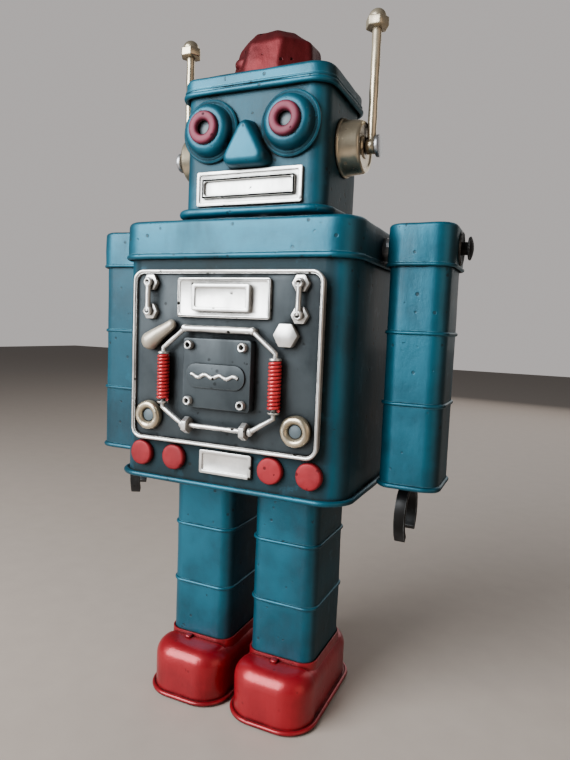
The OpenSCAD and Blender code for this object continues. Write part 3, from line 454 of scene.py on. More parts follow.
shoe_sheet = 1.0 * MM
for side, sign, word in SIDES:
    toe_low, toe_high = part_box(f"shoe_toe_{side}")
    heel_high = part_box(f"shoe_heel_{side}")[1]
    middle = (toe_low.x + toe_high.x) / 2
    top = toe_high.z
    half_w, half_d = 18.7 * MM, 23.2 * MM
    halves = []
    for half, lap in (("toe", 0.0), ("heel", 0.5 * MM)):
        low = Vector((toe_low.x + lap, toe_low.y + lap, toe_low.z))
        high = Vector((toe_high.x - lap, heel_high.y - lap * 0.1, top - lap))
        upper = rounded_block(f"shoe_{half}_{word}", low, high, 14 * MM - lap, 12)
        cut_out(lambda at, out: out.z < -0.99)
        pick("EDGE", lambda at, way: at.z > high.z - 1e-5)
        bpy.ops.mesh.bevel(offset=8.5 * MM, segments=8, affect="EDGES")
        bisected(between(low.z, top - 9 * MM, 3), 2)
        bisected(between(low.y, high.y, 9), 1)
        bisected(between(low.x, high.x, 5), 0)
        all_picked()
        bpy.ops.mesh.bisect(plane_co=(0, toe_high.y, 0), plane_no=(0, 1, 0), clear_outer=half == "toe",
                            clear_inner=half == "heel")
        edit_mode(False)
        dented(upper, 0.7 * MM, 14 * MM)
        modified(upper, "SOLIDIFY", thickness=shoe_sheet, offset=-1)
        halves.append(upper)
    collar = rounded_block("collar", (middle - half_w, axis_y - half_d, top - 6 * MM),
                           (middle + half_w, axis_y + half_d, heel_high.z), 7.7 * MM)
    cut_out(lambda at, out: abs(out.z) > 0.99)
    edit_mode(False)
    modified(collar, "SOLIDIFY", thickness=shoe_sheet, offset=-1)
    softened(collar, 0.35 * MM)
    tab_x = middle - (4 * MM if side == "l" else 1 * MM)
    tab_y = axis_y - half_d
    tab = rounded_block("tab", (tab_x - 1.8 * MM, tab_y - 3.4 * MM, top - 0.4 * MM),
                        (tab_x + 1.8 * MM, tab_y + 0.6 * MM, top + 1.4 * MM), 1.2 * MM, 4)
    edit_mode(False)
    softened(tab, 0.6 * MM, steps=3)
    toe, heel = halves
    fitted(toe, red_enamel, "red_paint", "torso", f"shoe_toe_{side}")
    fitted(joined(heel, collar, tab), red_enamel, "red_paint", "torso", f"shoe_heel_{side}")

# ---- Legs ----
# Tubes folded from thin steel sheet, closed at both ends, with two beads rolled round each.
# Satin teal paint, with a dark glaze wiped over it that stays along the beads and in the corners, and painted
# shade on the faces turned +X.

# The side value paints shade on every teal face turned +X.
teal_values = {"metallic": 0.6, "coat": 0.04, "bump": 0.0008, "paint": (0.0010, 0.096, 0.152, 1),
               "glaze": (0.014, 0.013, 0.010, 1), "worn": (0.12, 0.36, 0.45, 1), "glaze_amount": 1.0,
               "glaze_reach": 0.005, "stain": 0.45, "side_glaze": 0.64, "edge_wear": 0.60, "pits": 0.6,
               "roughness": 0.44}
teal_paint = painted("teal_paint", **teal_values)


def rolled_bead(low, high, inset, corner, thick, height, dent, spread):
    """Bead round an upright box at a height, a little wavy; inset is how far in from the box it runs."""
    bead = wire_ring("bead", high.x - low.x - 2 * inset, high.y - low.y - 2 * inset, corner, thick,
                     ((low.x + high.x) / 2, (low.y + high.y) / 2, height))
    modified(bead, "SUBSURF", levels=1, render_levels=1)
    dented(bead, dent, spread)
    return bead


bead_thick = 0.95 * MM
bead_out = 0.1 * MM


def folded_tube(name, low, high, corner, rings=()):
    """Tube of sheet round an upright box, with beads at the given shares of its height."""
    tube = rounded_block(name, low, high, corner)
    cut_out(lambda at, out: abs(out.z) > 0.99)
    bisected(between(low.z, high.z, 14), 2)
    bisected(between(low.x + corner, high.x - corner, 4), 0)
    bisected(between(low.y + corner, high.y - corner, 4), 1)
    edit_mode(False)
    dented(tube, 0.55 * MM, 24 * MM)
    modified(tube, "SOLIDIFY", thickness=1.0 * MM, offset=-1)
    beads = [rolled_bead(low, high, -bead_out, corner + bead_out, bead_thick,
                         low.z + share * (high.z - low.z), 0.5 * MM, 9 * MM) for share in rings]
    return joined(tube, *beads)


bead_room = Vector((1.0 * MM, 1.0 * MM, 0))
for side, sign, word in SIDES:
    low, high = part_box(f"leg_shell_{side}")
    leg = folded_tube(f"leg_{word}", low + bead_room, high - bead_room, 6.5 * MM, (0.464, 0.739))
    fitted(leg, teal_paint, "teal_paint", "torso", f"leg_shell_{side}")

# ---- Torso base ----
# Flat steel plate under the torso whose edge is rolled into a thick bead.
# The legs are bolted to it. Teal like the legs.


def rolled_plate(name, low, high, corner, bead):
    """Plate with a round bead all along its edge."""
    thick = 1 * MM
    plate = rounded_block(name, (low.x + bead, low.y + bead, (low.z + high.z - thick) / 2),
                          (high.x - bead, high.y - bead, (low.z + high.z + thick) / 2), corner)
    edit_mode(False)
    return joined(plate, rolled_bead(low, high, bead, corner, bead, (low.z + high.z) / 2, 0.6 * MM, 12 * MM))


low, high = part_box("torso_base")
base = rolled_plate("torso_base_plate", low, high, 13.6 * MM, 1.4 * MM)
fitted(base, teal_paint, "teal_paint", "torso", "torso_base")

# ---- Torso shell ----
# Wide tube folded from one sheet, open at top and bottom. The control panel is fixed to its front,
# where the glaze was left thick and brownish black round the panel and the buttons.

low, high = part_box("torso_shell")
shell = folded_tube("torso_tube", low, high, 12 * MM)
front_teal = painted("teal_paint_dark_front", front_glaze=0.80, **teal_values)
fitted(shell, front_teal, "teal_paint", "torso", "torso_shell")

# ---- Torso lid ----
# Deep lid pressed from sheet, with a soft shoulder round the top and a bead along its lower edge.
# Same teal paint as the shell, with the dark glaze left along the bead.


def pressed_lid(name, low, high, corner, shoulder, bead, groove=0.0):
    """Lid with rounded shoulders, its lower edge rolled into a bead."""
    lid_low = Vector((low.x + bead * 0.9, low.y + bead * 0.9, low.z + bead * 0.5))
    lid_high = Vector((high.x - bead * 0.9, high.y - bead * 0.9, high.z))
    piece = rounded_block(name, lid_low, lid_high, corner)
    cut_out(lambda at, out: out.z < -0.99)
    pick("EDGE", lambda at, way: at.z > high.z - 1e-5)
    bpy.ops.mesh.bevel(offset=shoulder, segments=5, affect="EDGES")
    bisected(between(lid_low.z, lid_high.z - shoulder, 3), 2)
    bisected(between(lid_low.x + corner, lid_high.x - corner, 9), 0)
    bisected(between(lid_low.y + corner, lid_high.y - corner, 7), 1)
    edit_mode(False)
    dented(piece, 0.9 * MM, 14 * MM)
    modified(piece, "SOLIDIFY", thickness=1 * MM, offset=-1)
    rings = [rolled_bead(low, high, bead, corner, thick, low.z + up, 0.6 * MM, 11 * MM)
             for up, thick in ((bead, bead), (groove, bead * 0.5)) if up > 0]
    return joined(piece, *rings)


low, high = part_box("torso_lid")
lid = pressed_lid("torso_cover", low, high, 13.2 * MM, 2.5 * MM, 1.4 * MM)
fitted(lid, teal_paint, "teal_paint", "torso", "torso_lid")

# ---- Shoulder axle ----
# One steel rod right through the torso and both arms, blackened, with its ends hammered into domed
# heads. Plain spacers keep the arms off the torso.


def wire_path(name, points):
    """Chain of edges from point to point, left in edit mode."""
    chosen()
    bpy.ops.mesh.primitive_plane_add(size=1.0 * MM, location=points[0])
    piece = settled(name)
    edit_mode()
    bpy.ops.mesh.select_mode(type="VERT")
    all_picked()
    bpy.ops.mesh.merge(type="CENTER")
    for start, end in zip(points, points[1:]):
        bpy.ops.mesh.extrude_region_move(TRANSFORM_OT_translate={"value": Vector(end) - Vector(start)})
    return piece


merge_gap = 0.01 * MM


def turned(name, outline, place, axis, soft=0.0, steps=48):
    """Piece turned on a lathe: an outline of (radius, height) points spun about an axis through a place."""
    piece = wire_path(name, [(radius, 0, height) for radius, height in outline])
    all_picked()
    bpy.ops.mesh.spin(steps=steps, angle=2 * pi, center=(0, 0, 0), axis=(0, 0, 1))
    all_picked()
    bpy.ops.mesh.remove_doubles(threshold=merge_gap)
    bpy.ops.mesh.normals_make_consistent(inside=False)
    edit_mode(False)
    piece.rotation_euler = Vector(axis).to_track_quat("Z", "Y").to_euler()
    piece.location = place
    bpy.ops.object.transform_apply()
    if soft:
        softened(piece, soft)
    return piece


def dome(radius, rise, base=0.0, count=6):
    """Points of a shallow dome from its rim to its middle."""
    ball = (radius * radius + rise * rise) / (2 * rise)
    widest = radius / ball
    return [(ball * sin_at, base + rise - ball + (ball * ball - (ball * sin_at) ** 2) ** 0.5)
            for sin_at in [widest * (1 - k / count) for k in range(count + 1)]]


# The front and side values paint shade: fronts and faces turned +X come out darker, with less shine.
blackened = painted("blackened_steel", metallic=0.4, bump=0.0005, paint=(0.008, 0.008, 0.009, 1),
                    glaze=(0.006, 0.005, 0.004, 1), worn=(0.34, 0.36, 0.36, 1), glaze_amount=0.6,
                    glaze_reach=0.004, stain=0.4, front_glaze=0.8, side_glaze=0.8, edge_wear=0.5, pits=0.5,
                    roughness=0.42)
plain_steel = painted("plain_steel", metallic=0.95, bump=0.0003, paint=(0.42, 0.42, 0.43, 1),
                      glaze=(0.030, 0.026, 0.022, 1), worn=(0.75, 0.75, 0.76, 1), glaze_amount=0.8,
                      glaze_reach=0.004, stain=0.4, edge_wear=0.5, pits=0.4, roughness=0.38)

low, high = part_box("shoulder_axle")
axle_at = (low + high) / 2
head_radius = (high.z - low.z) / 2
rod_r, start, end = 3 * MM, low.x + 1 * MM, high.x - 1 * MM
axle_parts = [turned("axle_rod", [(0.0, start), (rod_r, start), (rod_r, end), (0.0, end)],
                     (0, axle_at.y, axle_at.z), (1, 0, 0))]
rim = [(0.0, 0.0), (head_radius - 0.4 * MM, 0.0), (head_radius, 0.4 * MM)]
for sign in (-1, 1):
    axle_parts.append(turned("head", rim + dome(head_radius, 1.3 * MM, 0.9 * MM),
                             (sign * (high.x - 2.2 * MM), axle_at.y, axle_at.z), (sign, 0, 0), steps=32))
fitted(joined(*axle_parts), blackened, "dark_metal", "torso", "shoulder_axle")


def finished_copy(name, node, width, material, slot, body):
    """Copy of a CAD node's mesh, merged, with its sharp edges eased."""
    source = frame["nodes"][node]
    source.hide_viewport = False
    chosen(source)
    bpy.ops.object.duplicate()
    piece = bpy.context.object
    bpy.ops.object.parent_clear(type="CLEAR_KEEP_TRANSFORM")
    del piece["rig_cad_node"]
    piece.name = name
    edit_mode()
    all_picked()
    bpy.ops.mesh.remove_doubles(threshold=merge_gap)
    bpy.ops.mesh.dissolve_limited(angle_limit=radians(1.0))
    edit_mode(False)
    if "custom_normal" in piece.data.attributes:
        piece.data.attributes.remove(piece.data.attributes["custom_normal"])
    softened(piece, width)
    fitted(piece, material, slot, body, node)


finished_copy("arm_spacers", "shoulder_spacers", 0.3 * MM, plain_steel, "plain_steel", "torso")

# ---- Arms ----
# Each arm is a folded tube with two beads, a pressed cap over its top and a rolled plate under it.
# The axle passes through cap and tube, with a dished black washer outside. Same teal paint as the torso, with
# painted shade on the left arm's front.

arm_beads = {"l": (0.273, 0.546), "r": (0.315, 0.592)}
# The left arm's front is darkened by painted shade.
arm_paint = {"l": painted("teal_paint_shaded_left_arm", front_glaze=0.45, **teal_values), "r": teal_paint}
for side, sign, word in SIDES:
    body = f"arm_{word}"
    low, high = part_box(f"arm_shell_{side}")
    arm = folded_tube(f"arm_tube_{word}", low + bead_room, high - bead_room, 7.5 * MM, arm_beads[side])
    fitted(arm, arm_paint[side], "teal_paint", body, f"arm_shell_{side}")
    low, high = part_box(f"arm_cap_{side}")
    cap = pressed_lid(f"arm_cover_{word}", low, high, 8.6 * MM, 1.8 * MM, 0.9 * MM)
    fitted(cap, teal_paint, "teal_paint", body, f"arm_cap_{side}")
    low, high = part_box(f"arm_end_{side}")
    end = rolled_plate(f"arm_foot_{word}", low, high, 7.5 * MM, 1.3 * MM)
    fitted(end, teal_paint, "teal_paint", body, f"arm_end_{side}")
    low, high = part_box(f"arm_washer_{side}")
    radius = (high.z - low.z) / 2
    inner = low.x if sign > 0 else high.x
    washer = turned(f"washer_{word}", [(3.1 * MM, 0), (radius - 0.3 * MM, 0), (radius, 0.5 * MM),
                                       (radius - 0.5 * MM, 1.2 * MM), (radius - 1.8 * MM, 1.0 * MM),
                                       (4.2 * MM, 0.5 * MM), (3.1 * MM, 0.5 * MM), (3.1 * MM, 0)],
                    (inner, axis_y, (low.z + high.z) / 2), (sign, 0, 0))
    fitted(washer, blackened, "dark_metal", body, f"arm_washer_{side}")

# ---- Hands ----
# Open rings bent from thick strip, mouth down, each on a pin riveted over inside the arm.
# Blackened like the axle.

for side, sign, word in SIDES:
    finished_copy(f"hand_{word}", f"hand_{side}", 0.7 * MM, blackened, "dark_metal", f"grip_{word}")

# ---- Neck ----
# A plain steel spacer between torso lid and head, and the nuts that hold head and axle inside.
# All of them are bare steel.

finished_copy("neck", "neck_spacer", 0.3 * MM, plain_steel, "plain_steel", "torso")
finished_copy("inner_nuts", "large_nuts", 0.3 * MM, plain_steel, "plain_steel", "torso")

# ---- Head ----
# A folded tube on a rolled base plate, closed by a pressed lid with a second bead above its edge.
# Teal like the torso, with greyish glaze left on the face.

low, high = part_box("head_base")
base = rolled_plate("head_foot", low, high, 10.8 * MM, 2.1 * MM)
fitted(base, teal_paint, "teal_paint", "head", "head_base")
low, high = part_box("head_shell")
face_teal = painted("teal_paint_grey_face", front_glaze=0.42, **teal_values)
shell = folded_tube("head_tube", low, high, 8.5 * MM)
fitted(shell, face_teal, "teal_paint", "head", "head_shell")
low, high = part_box("head_lid")
lid = pressed_lid("head_cover", low, high, 9.7 * MM, 2 * MM, 1.4 * MM, groove=3.6 * MM)
fitted(lid, teal_paint, "teal_paint", "head", "head_lid")

# ---- Eyes ----
# Each eye is a pressed teal cup on a flange, with a thick painted ring round a grey rivet head.
# The ring's pinkish red paint is worn through in places.

ring_paint = painted("eye_ring_paint", metallic=0.35, bump=0.0005, paint=(0.15, 0.008, 0.028, 1),
                     glaze=(0.020, 0.004, 0.008, 1), worn=(0.34, 0.17, 0.23, 1), glaze_amount=0.9,
                     glaze_reach=0.002, stain=0.55, edge_wear=0.9, pits=0.8, roughness=0.52)

low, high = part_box("eye_cups")
eye_height = (low.z + high.z) / 2
flange = (high.z - low.z) / 2
eye_across = (high.x - low.x) / 2 - flange
deep = high.y - low.y
bowl = 12.3 * MM
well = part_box("eye_rings")
ring_out = (well[1].z - well[0].z) / 2
rim = [(flange - 0.6 * MM, 0), (flange, 0.7 * MM), (flange - 0.1 * MM, 1.7 * MM),
       (flange - 0.8 * MM, 2.2 * MM), (bowl + 0.9 * MM, 1.7 * MM), (bowl + 0.3 * MM, 2.0 * MM)]
bend = 4 * MM
shoulder = [(bowl - bend + bend * cos(a), deep - bend + bend * sin(a))
            for a in [radians(8 + 11.7 * k) for k in range(8)]]
hole, floor = 2.1 * MM, 1.8 * MM
cup_outline = ([(hole, 0)] + rim + shoulder
               + [(ring_out - 2.4 * MM, deep), (ring_out - 3 * MM, deep - 0.6 * MM),
                  (ring_out - 3 * MM, floor), (hole, floor), (hole, 0)])
cups = [turned("cup", cup_outline, (sign * eye_across, high.y, eye_height), (0, -1, 0), steps=64)
        for sign in (-1, 1)]
fitted(joined(*cups, name="eye_domes"), teal_paint, "teal_paint", "head", "eye_cups")
half = 2.2 * MM
ring_in = ring_out - 2 * half
tall = well[1].y - well[0].y
back = 0.2 * MM
tube = [(ring_in + half - half * cos(a), back + (tall - back) * max(0.0, sin(a)) ** 0.4)
        for a in [pi * k / 14 for k in range(15)]]
rings = [turned("ring", tube + [(ring_in, back)], (sign * eye_across, well[1].y, eye_height), (0, -1, 0))
         for sign in (-1, 1)]
fitted(joined(*rings, name="eye_hoops"), ring_paint, "eye_ring_paint", "head", "eye_rings", smooth=60)
pupil_steel = painted("pupil_steel", metallic=0.3, bump=0.0003, paint=(0.085, 0.115, 0.130, 1),
                      glaze=(0.010, 0.010, 0.010, 1), worn=(0.30, 0.34, 0.36, 1), glaze_amount=0.9,
                      glaze_reach=0.002, stain=0.4, edge_wear=0.4, pits=0.5, roughness=0.45)
finished_copy("eye_pupils", "eye_rivets", 0.5 * MM, pupil_steel, "plain_steel", "head")

# ---- Nose ----
# Three-cornered pressing, rounded all over and narrower in front, soldered on between the eyes.
# Same teal paint.

low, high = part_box("nose")
wide, tall, out = high.x - low.x + 6.5 * MM, high.z - low.z + 3.6 * MM, high.y - low.y
chosen()
bpy.ops.mesh.primitive_cylinder_add(vertices=3, radius=tall / 1.5, depth=out, rotation=(pi / 2, 0, 0),
                                    location=(0, (low.y + high.y) / 2, low.z + tall / 3),
                                    end_fill_type="NGON")
nose = settled("nose_piece")
edit_mode()
all_picked()
bpy.ops.transform.resize(value=(wide / (tall / 1.5 * 3 ** 0.5), 1, 1), center_override=(0, 0, 0))
pick("FACE", lambda at, out_way: out_way.y < -0.99)
bpy.ops.transform.resize(value=(0.88, 1.0, 0.90), center_override=(0, low.y, low.z + 0.30 * tall))
pick("EDGE", lambda at, way: abs(way.y) > 0.4)
bpy.ops.mesh.bevel(offset=7.2 * MM, segments=8, affect="EDGES")
pick("EDGE", lambda at, way: at.y < low.y + 0.01 * MM)
bpy.ops.mesh.bevel(offset=3.0 * MM, segments=6, affect="EDGES")
edit_mode(False)
fitted(nose, teal_paint, "teal_paint", "head", "nose", smooth=60)

# ---- Mouth ----
# Framed plate with a long shallow slot, pressed from steel sheet and fixed to the face.
# Dry-brushed silver over black, like the trim of the panel.

# The side value paints shade on faces turned +X.
silver = painted("silver_finish", metallic=0.93, bump=0.0005, paint=(0.86, 0.845, 0.81, 1),
                 glaze=(0.012, 0.010, 0.008, 1), worn=(0.95, 0.94, 0.91, 1), glaze_amount=1.0,
                 glaze_reach=0.0050, stain=0.55, side_glaze=0.60, edge_wear=1.0, pits=1.0, roughness=0.34)


def framed_plate(name, low, high, corner, steps, soft=0.25 * MM):
    """Plate facing the front; each step goes in from the edge and then pushes the face back or out."""
    chosen()
    bpy.ops.mesh.primitive_cube_add(size=1.0, location=(low + high) / 2, scale=high - low)
    piece = settled(name)
    edit_mode()
    pick("FACE", lambda at, out: out.y < -0.99)
    for inset, push in steps:
        bpy.ops.mesh.inset(thickness=inset)
        bpy.ops.mesh.extrude_region_move(TRANSFORM_OT_translate={"value": (0, push, 0)})
    pick("EDGE", lambda middle, way: abs(way.y) > 0.99)
    bpy.ops.mesh.bevel(offset=corner, segments=5, affect="EDGES")
    edit_mode(False)
    softened(piece, soft)
    return piece


low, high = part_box("mouth_plate")
mouth = framed_plate("mouth_frame", Vector((low.x, high.y - 1.7 * MM, low.z)), high, 1 * MM,
                     ((1.6 * MM, 0.7 * MM),))
slot_low = Vector((low.x + 3.4 * MM, low.y, low.z + 3.6 * MM))
slot_high = Vector((high.x - 3.4 * MM, high.y, high.z - 3.6 * MM))
slot = framed_plate("slot", slot_low, slot_high, 1.5 * MM, ((1.3 * MM, 1.5 * MM),), 0.4 * MM)
fitted(joined(mouth, slot), silver, "silver_finish", "head", "mouth_plate")

# ---- Ears ----
# Turned brass drums on thin flanges, held by steel pins with flat heads.
# Nickelled and tarnished.

champagne = painted("champagne_metal", metallic=0.9, bump=0.0004, paint=(0.60, 0.51, 0.36, 1),
                    glaze=(0.022, 0.014, 0.008, 1), worn=(0.90, 0.84, 0.72, 1), glaze_amount=1.0,
                    glaze_reach=0.004, stain=0.9, edge_wear=0.8, pits=0.7, roughness=0.28)

low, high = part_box("ear_drums")
radius = (high.z - low.z) / 2
root = -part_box("head_shell")[0].x
out = high.x - root
drum = radius - 1.5 * MM
drum_outline = [(2.1 * MM, 0), (radius - 0.4 * MM, 0), (radius, 0.5 * MM), (radius - 0.1 * MM, 1.3 * MM),
                (radius - 0.6 * MM, 1.7 * MM), (drum + 0.9 * MM, 1.9 * MM), (drum + 0.5 * MM, 2.6 * MM),
                (drum, out - 1.6 * MM), (drum - 0.5 * MM, out - 0.5 * MM), (drum - 1.4 * MM, out),
                (drum * 0.80, out - 0.1 * MM), (drum * 0.74, out - 0.7 * MM), (drum * 0.45, out - 0.8 * MM),
                (drum * 0.40, out - 0.1 * MM), (2.1 * MM, out), (2.1 * MM, 0)]
drums = [turned("drum", drum_outline, (sign * root, axis_y, (low.z + high.z) / 2), (sign, 0, 0),
                soft=0.2 * MM) for sign in (-1, 1)]
fitted(joined(*drums, name="ear_turnings"), champagne, "champagne_metal", "head", "ear_drums")
finished_copy("ear_rivets", "ear_pins", 0.5 * MM, plain_steel, "plain_steel", "head")

# ---- Antennas ----
# Round rods that hinge on the ear pins, each with an acorn nut screwed on its end.
# Same nickelled and tarnished metal as the ear drums.

pin_z = sum(corner.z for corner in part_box("ear_pins")) / 2
for side, sign, word in SIDES:
    low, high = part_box(f"antenna_{side}")
    middle = (low.x + high.x) / 2
    rod_r = 2.2 * MM
    tall = high.z - pin_z
    rod = turned("rod", [(0, 0), (rod_r, 0)] + [(rod_r * (1 + 0.05 * sin(k * 2.1 + sign)), tall * k / 14)
                                                for k in range(1, 14)] + [(rod_r, tall), (0, tall)],
                 (middle, axis_y, pin_z), (0, 0, 1), steps=24)
    eye = turned("eye", [(2.05 * MM, -2.1 * MM), (3.3 * MM, -2.1 * MM), (3.6 * MM, -1.7 * MM),
                         (3.6 * MM, 1.7 * MM), (3.3 * MM, 2.1 * MM), (2.05 * MM, 2.1 * MM),
                         (2.05 * MM, -2.1 * MM)], (middle, axis_y, pin_z), (1, 0, 0), steps=32)
    rod = joined(rod, eye, name=f"antenna_rod_{word}")
    fitted(rod, champagne, "champagne_metal", f"antenna_{word}", f"antenna_{side}")
    low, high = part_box(f"acorn_nut_{side}")
    nut_tall, cap_r = 4.5 * MM, 4.4 * MM
    chosen()
    bpy.ops.mesh.primitive_cylinder_add(vertices=6, radius=(high.x - low.x) / 2, depth=nut_tall,
                                        rotation=(0, 0, pi / 6),
                                        location=(middle, axis_y, low.z + nut_tall / 2))
    nut = settled(f"antenna_nut_{word}")
    softened(nut, 0.6 * MM, steps=3)
    rise = high.z - low.z - nut_tall
    cap = turned("cap", [(0, 0)] + [(cap_r * cos(a), 0.2 * MM + rise * sin(a))
                                    for a in [radians(7.5 * k) for k in range(13)]],
                 (middle, axis_y, low.z + 4.3 * MM), (0, 0, 1), steps=32)
    fitted(joined(nut, cap), champagne, "champagne_metal", f"antenna_{word}", f"acorn_nut_{side}")

# ---- Beacon ----
# Eight-sided lamp housing of cast metal, lumpy and pitted, with a flat top and a worn boss on its
# left front corner. Dark red enamel, screwed on through the head's lid.

# The side value paints shade on faces turned +X.
beacon_red = painted("beacon_enamel", metallic=0.65, bump=0.0016, paint=(0.105, 0.0005, 0.0035, 1),
                     glaze=(0.010, 0.002, 0.002, 1), worn=(0.40, 0.09, 0.09, 1), glaze_amount=0.8,
                     glaze_reach=0.006, stain=0.6, side_glaze=0.4, edge_wear=0.20, pits=1.0, roughness=0.50)
low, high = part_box("beacon")
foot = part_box("head_lid")[1].z
half_w, half_d, rise = (high.x - low.x) / 2, (high.y - low.y) / 2, high.z - foot
chosen()
bpy.ops.mesh.primitive_cylinder_add(vertices=8, radius=1.0, depth=rise, location=(0, axis_y, foot + rise / 2),
                                    rotation=(0, 0, pi / 8), end_fill_type="NGON")
beacon = settled("beacon_casting")
edit_mode()
all_picked()
bpy.ops.transform.resize(value=(half_w / cos(pi / 8), half_d / cos(pi / 8), 1),
                         center_override=(0, axis_y, foot))
bisected((foot + 0.36 * rise, foot + 0.72 * rise), 2)
for height, wide, deep, shift in ((0.36, 0.95, 0.94, 0.4), (0.72, 0.86, 0.86, 1.4), (1.0, 0.54, 0.50, -1.5)):
    level = foot + height * rise
    pick("VERT", lambda at: abs(at.z - level) < 1e-5)
    bpy.ops.transform.resize(value=(wide, deep, 1), center_override=(0, axis_y, level))
    bpy.ops.transform.translate(value=(shift * MM, 0, 0))
pick("EDGE", lambda at, way: at.z > foot + 0.1 * rise)
bpy.ops.mesh.bevel(offset=1.3 * MM, segments=3, affect="EDGES")
edit_mode(False)
modified(beacon, "SUBSURF", levels=3, render_levels=3, subdivision_type="SIMPLE")
dented(beacon, 1.8 * MM, 15 * MM)
dented(beacon, 0.3 * MM, 4 * MM)
chosen()
bpy.ops.mesh.primitive_uv_sphere_add(segments=32, ring_count=16, radius=4.6 * MM,
                                     location=(-0.50 * half_w, axis_y - 0.58 * half_d, foot + 0.40 * rise),
                                     scale=(1.35, 0.95, 0.85))
boss = settled("boss")
dented(boss, 0.9 * MM, 5 * MM)
beacon = joined(beacon, boss)
modified(beacon, "REMESH", mode="VOXEL", voxel_size=0.45 * MM)
modified(beacon, "SMOOTH", factor=0.5, iterations=3)
fitted(beacon, beacon_red, "red_paint", "head", "beacon", smooth=80)

# ---- Control panel ----
# Thick slate plate bolted to the torso front, with a bead of bright wire soldered round its edge.
# The slate paint is brushed on, and the raised trim is dry-brushed silver over black.

# Its corner glaze round the raised trim is partly painted shade.
slate = painted("slate_paint", metallic=0.35, bump=0.0004, paint=(0.017, 0.029, 0.036, 1),
                glaze=(0.004, 0.004, 0.004, 1), worn=(0.40, 0.41, 0.41, 1), glaze_amount=1.0,
                glaze_reach=0.005, stain=0.55, edge_wear=0.30, pits=0.5, roughness=0.48)

low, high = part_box("panel_plate")
plate = framed_plate("panel_sheet", low, high, 4.5 * MM, (), 0.3 * MM)
fitted(plate, slate, "slate_paint", "torso", "panel_plate")
panel_face = low.y
low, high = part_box("panel_rim")
rim_thick = 0.8 * MM
middle = Vector((0, low.y + rim_thick, (low.z + high.z) / 2))
size = high - low
rim = wire_ring("panel_bead", size.x - rim_thick, size.z - rim_thick, 5 * MM, rim_thick, middle, tilt=pi / 2)
dented(rim, 0.35 * MM, 5 * MM)
half_w, half_h = size.x / 2 - rim_thick / 2, size.z / 2 - rim_thick / 2
band = rounded_block("band", (-half_w, middle.z - half_h, -high.y),
                     (half_w, middle.z + half_h, -low.y - rim_thick), 5.1 * MM)
cut_out(lambda at, out: abs(out.z) > 0.99)
edit_mode(False)
modified(band, "SOLIDIFY", thickness=1 * MM, offset=-1)
band.rotation_euler = (pi / 2, 0, 0)
bpy.ops.object.transform_apply()
fitted(joined(rim, band), silver, "silver_finish", "torso", "panel_rim")

# ---- Meter and name plates ----
# Two framed plates without any lettering: a raised meter at the top and a sunk plate below the panel.
# Both are pressed from sheet and dry-brushed silver over black.

low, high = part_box("meter_plate")
step = 2.2 * MM
outer = framed_plate("meter_frame", Vector((low.x, high.y - step, low.z)), high, 1.2 * MM,
                     ((1.3 * MM, 0.45 * MM),), 0.45 * MM)
in_x, in_z = 0.19 * (high.x - low.x), 0.16 * (high.z - low.z)
gauge_low = Vector((low.x + in_x, low.y, low.z + in_z))
gauge_high = Vector((high.x - in_x, high.y - step * 0.5, high.z - in_z))
gauge = framed_plate("gauge", gauge_low, gauge_high, 1.2 * MM, ((1.7 * MM, 0.6 * MM),), 0.6 * MM)
fitted(joined(outer, gauge), silver, "silver_finish", "torso", "meter_plate")
low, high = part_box("lower_frame")
plate = framed_plate("lower_plate", low, high, 1 * MM, ((1.6 * MM, 0.7 * MM),), 0.35 * MM)
fitted(plate, silver, "silver_finish", "torso", "lower_frame")

# ---- Handles ----
# Two short upright rods, each end held by a hexagon nut on a post.
# Dry-brushed silver, like the nuts, bolts and screws that hold the panel's pieces.


def thick_wire(name, points, thick):
    """Round rod along a path."""
    wire_path(name, points)
    edit_mode(False)
    return thickened(thick, 4, caps=True)


low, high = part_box("handle_bars")
reach = 1.5 * MM
handles = []
for sign in (-1, 1):
    x = sign * ((high.x - low.x) / 2 - reach)
    z0, z1 = low.z + reach, high.z - reach
    rod = thick_wire("rod", [(x, low.y + reach, z0 + (z1 - z0) * k / 8) for k in range(9)], 1.25 * MM)
    dented(rod, 0.5 * MM, 4 * MM)
    handles.append(rod)
    for z in (z0, z1):
        post = turned("post", [(0, 0), (1.3 * MM, 0), (1.3 * MM, 3.2 * MM), (2.1 * MM, 3.4 * MM),
                               (2.2 * MM, 4.5 * MM), (1.7 * MM, 5.2 * MM), (1.2 * MM, 5.2 * MM),
                               (0.8 * MM, 4.6 * MM), (0.7 * MM, 3.9 * MM), (0, 3.9 * MM)],
                      (x, panel_face, z), (0, -1, 0), soft=0.2 * MM, steps=20)
        dented(post, 0.35 * MM, 2.5 * MM)
        handles.append(post)
fitted(joined(*handles, name="handle_rods"), silver, "silver_finish", "torso", "handle_bars")
finished_copy("trim_nuts", "small_nuts", 0.4 * MM, silver, "silver_finish", "torso")
finished_copy("bolts", "hex_bolts", 0.5 * MM, silver, "silver_finish", "torso")
finished_copy("screws", "flat_screws", 0.25 * MM, pupil_steel, "plain_steel", "torso")

# ---- Cone ----
# Blunt cast cone that lies across the panel's upper corner.
# Warm metallic paint, with dark tarnish in its hollows.

